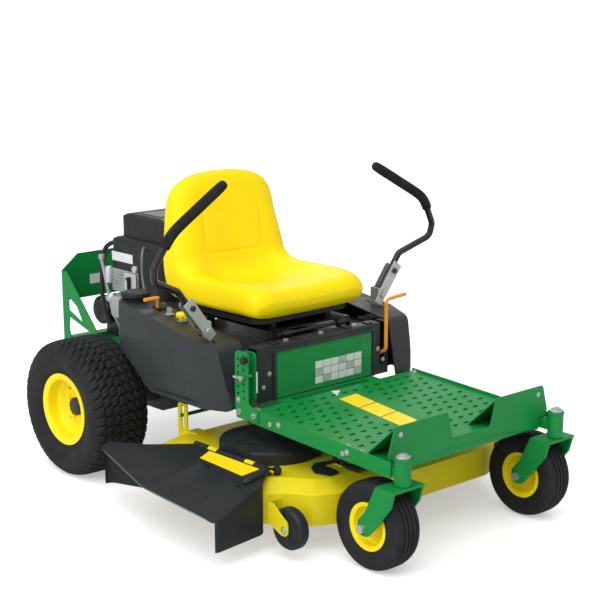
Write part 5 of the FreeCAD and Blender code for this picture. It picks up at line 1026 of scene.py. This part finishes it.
# ---- engine -------------------------------------------------------------------------------------
def add_cooling_side(body):
    """Cast side of the engine: block, fins, boss, chromed filter, dipstick and elbow."""
    fins = [block("side_block", -236, -82, -158, -150, 548, 628, "aluminium", body, 2)]
    for i in range(6):
        z = 556 + i * 12
        fins.append(block("fin_%d" % i, -228, -88, -163, -156, z, z + 4, "aluminium", body, 0.8))
    joined("side_fins", fins, body)
    block("side_plate", -150, -84, -166, -161, 552, 624, "silver", body, 1)
    block("side_recess", -128, -112, -169, -165, 556, 612, "black", body, 2)
    lathe("block_boss", place(-100, -152, 640), Vector((0, -1, 0)), [(0, 13), (8, 13), (10, 11), (11, 4)],
          "silver", body, steps=28)
    lathe("oil_filter", place(-248, -162, 572), Vector((0, 0, 1)),
          [(0, 9), (3, 13), (54, 13), (60, 9), (61, 2)], "silver", body, steps=28)
    lathe("dipstick", place(-120, -172, 560), Vector((0, 0, 1)),
          [(0, 5), (40, 5), (42, 9), (50, 9), (52, 4)], "plastic", body, steps=18)
    lathe("elbow_ring", place(-238, -162, 520), Vector((0.5, -1, 0.2)),
          [(0, 14), (3, 16), (12, 16), (15, 12), (16, 10)], "zinc", body, steps=28)


def add_engine_trim():
    body = "chassis"
    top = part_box("air_filter_cover")[1].z * 1000
    block("engine_plate", -238, -116, -153.8, -151, 656, 688, "white", body, 0.4)
    cover = [place(-132, -122.8, 734), place(-62, -122.8, 734), place(-62, -122.8, 741),
             place(-132, -122.8, 741)]
    solid("cover_strip", cover, Vector((0, -0.0015, 0)), "silver", body)
    lid = [(-150, -84), (-40, -84), (-26, 56), (-136, 56)]
    solid("cover_lid", [place(x, y, top - 0.6) for x, y in lid], Vector((0, 0, 0.004)), "hose", body,
          1.5)
    for i, y in enumerate((-60, 92)):
        lathe("cover_knob_%d" % i, place(6, y, top - 1), Vector((0, 0, 1)),
              [(0, 11), (8, 11), (14, 8), (15, 2)], "plastic", body, steps=20)
    add_cooling_side(body)
    tube("fuel_hose", [place(-70, -120, 730), place(-44, -160, 724), place(-30, -176, 690),
                       place(-28, -178, 620), place(10, -190, 560), place(60, -240, 540)], 5, "hose",
         body)
    tube("breather_hose", [place(-262, -120, 712), place(-286, -140, 706), place(-294, -156, 660),
                           place(-288, -168, 560), place(-276, -172, 480), place(-250, -160, 420)], 8,
         "plastic", body)
    tube("coil_lead", [place(-246, -150, 690), place(-266, -160, 680), place(-272, -166, 640),
                       place(-262, -170, 600)], 4, "plastic", body)
    for i, z in enumerate((596, 616, 636, 656, 676)):
        block("shroud_louvre_%d" % i, 58, 62.5, -96, 96, z, z + 8, "black", body, 1.5)
    for i, (x, y) in enumerate(((-215, -112), (20, -112), (-215, 112), (20, 112))):
        z = surface("engine_shroud", x, y)
        if z:
            screw("shroud_screw_%d" % i, place(x, y, z - 0.3), Vector((0, 0, 1)), "zinc", body, 5, 4)


def add_guard_trim():
    block("guard_plate", -473.9, -469.2, -94, -42, 524, 560, "white", "chassis", 0.4)


def add_lever_cable():
    """The throttle lever's cable, from the console down into the frame."""
    tube("lever_cable", [place(*THROTTLE_AT, 560), place(264, -320, 540), place(210, -305, 500),
                         place(100, -250, 470), place(0, -180, 470)], 3, "plastic", "chassis")


dress_nodes()
add_studio()
add_camera()
add_seat()
for tag, sign in (("left", 1), ("right", -1)):
    add_rear_tyre(tag, sign)
    add_wheel_trim(tag, sign)
    add_grip(tag, sign)
    add_arm_plate(tag, sign)
add_console()
add_tank_cap()
add_front_panel()
add_platform_tread()
add_gate_trim()
add_frame_caps()
add_deck_trim()
add_mower_belt()
add_engine_trim()
add_guard_trim()
add_lever_cable()
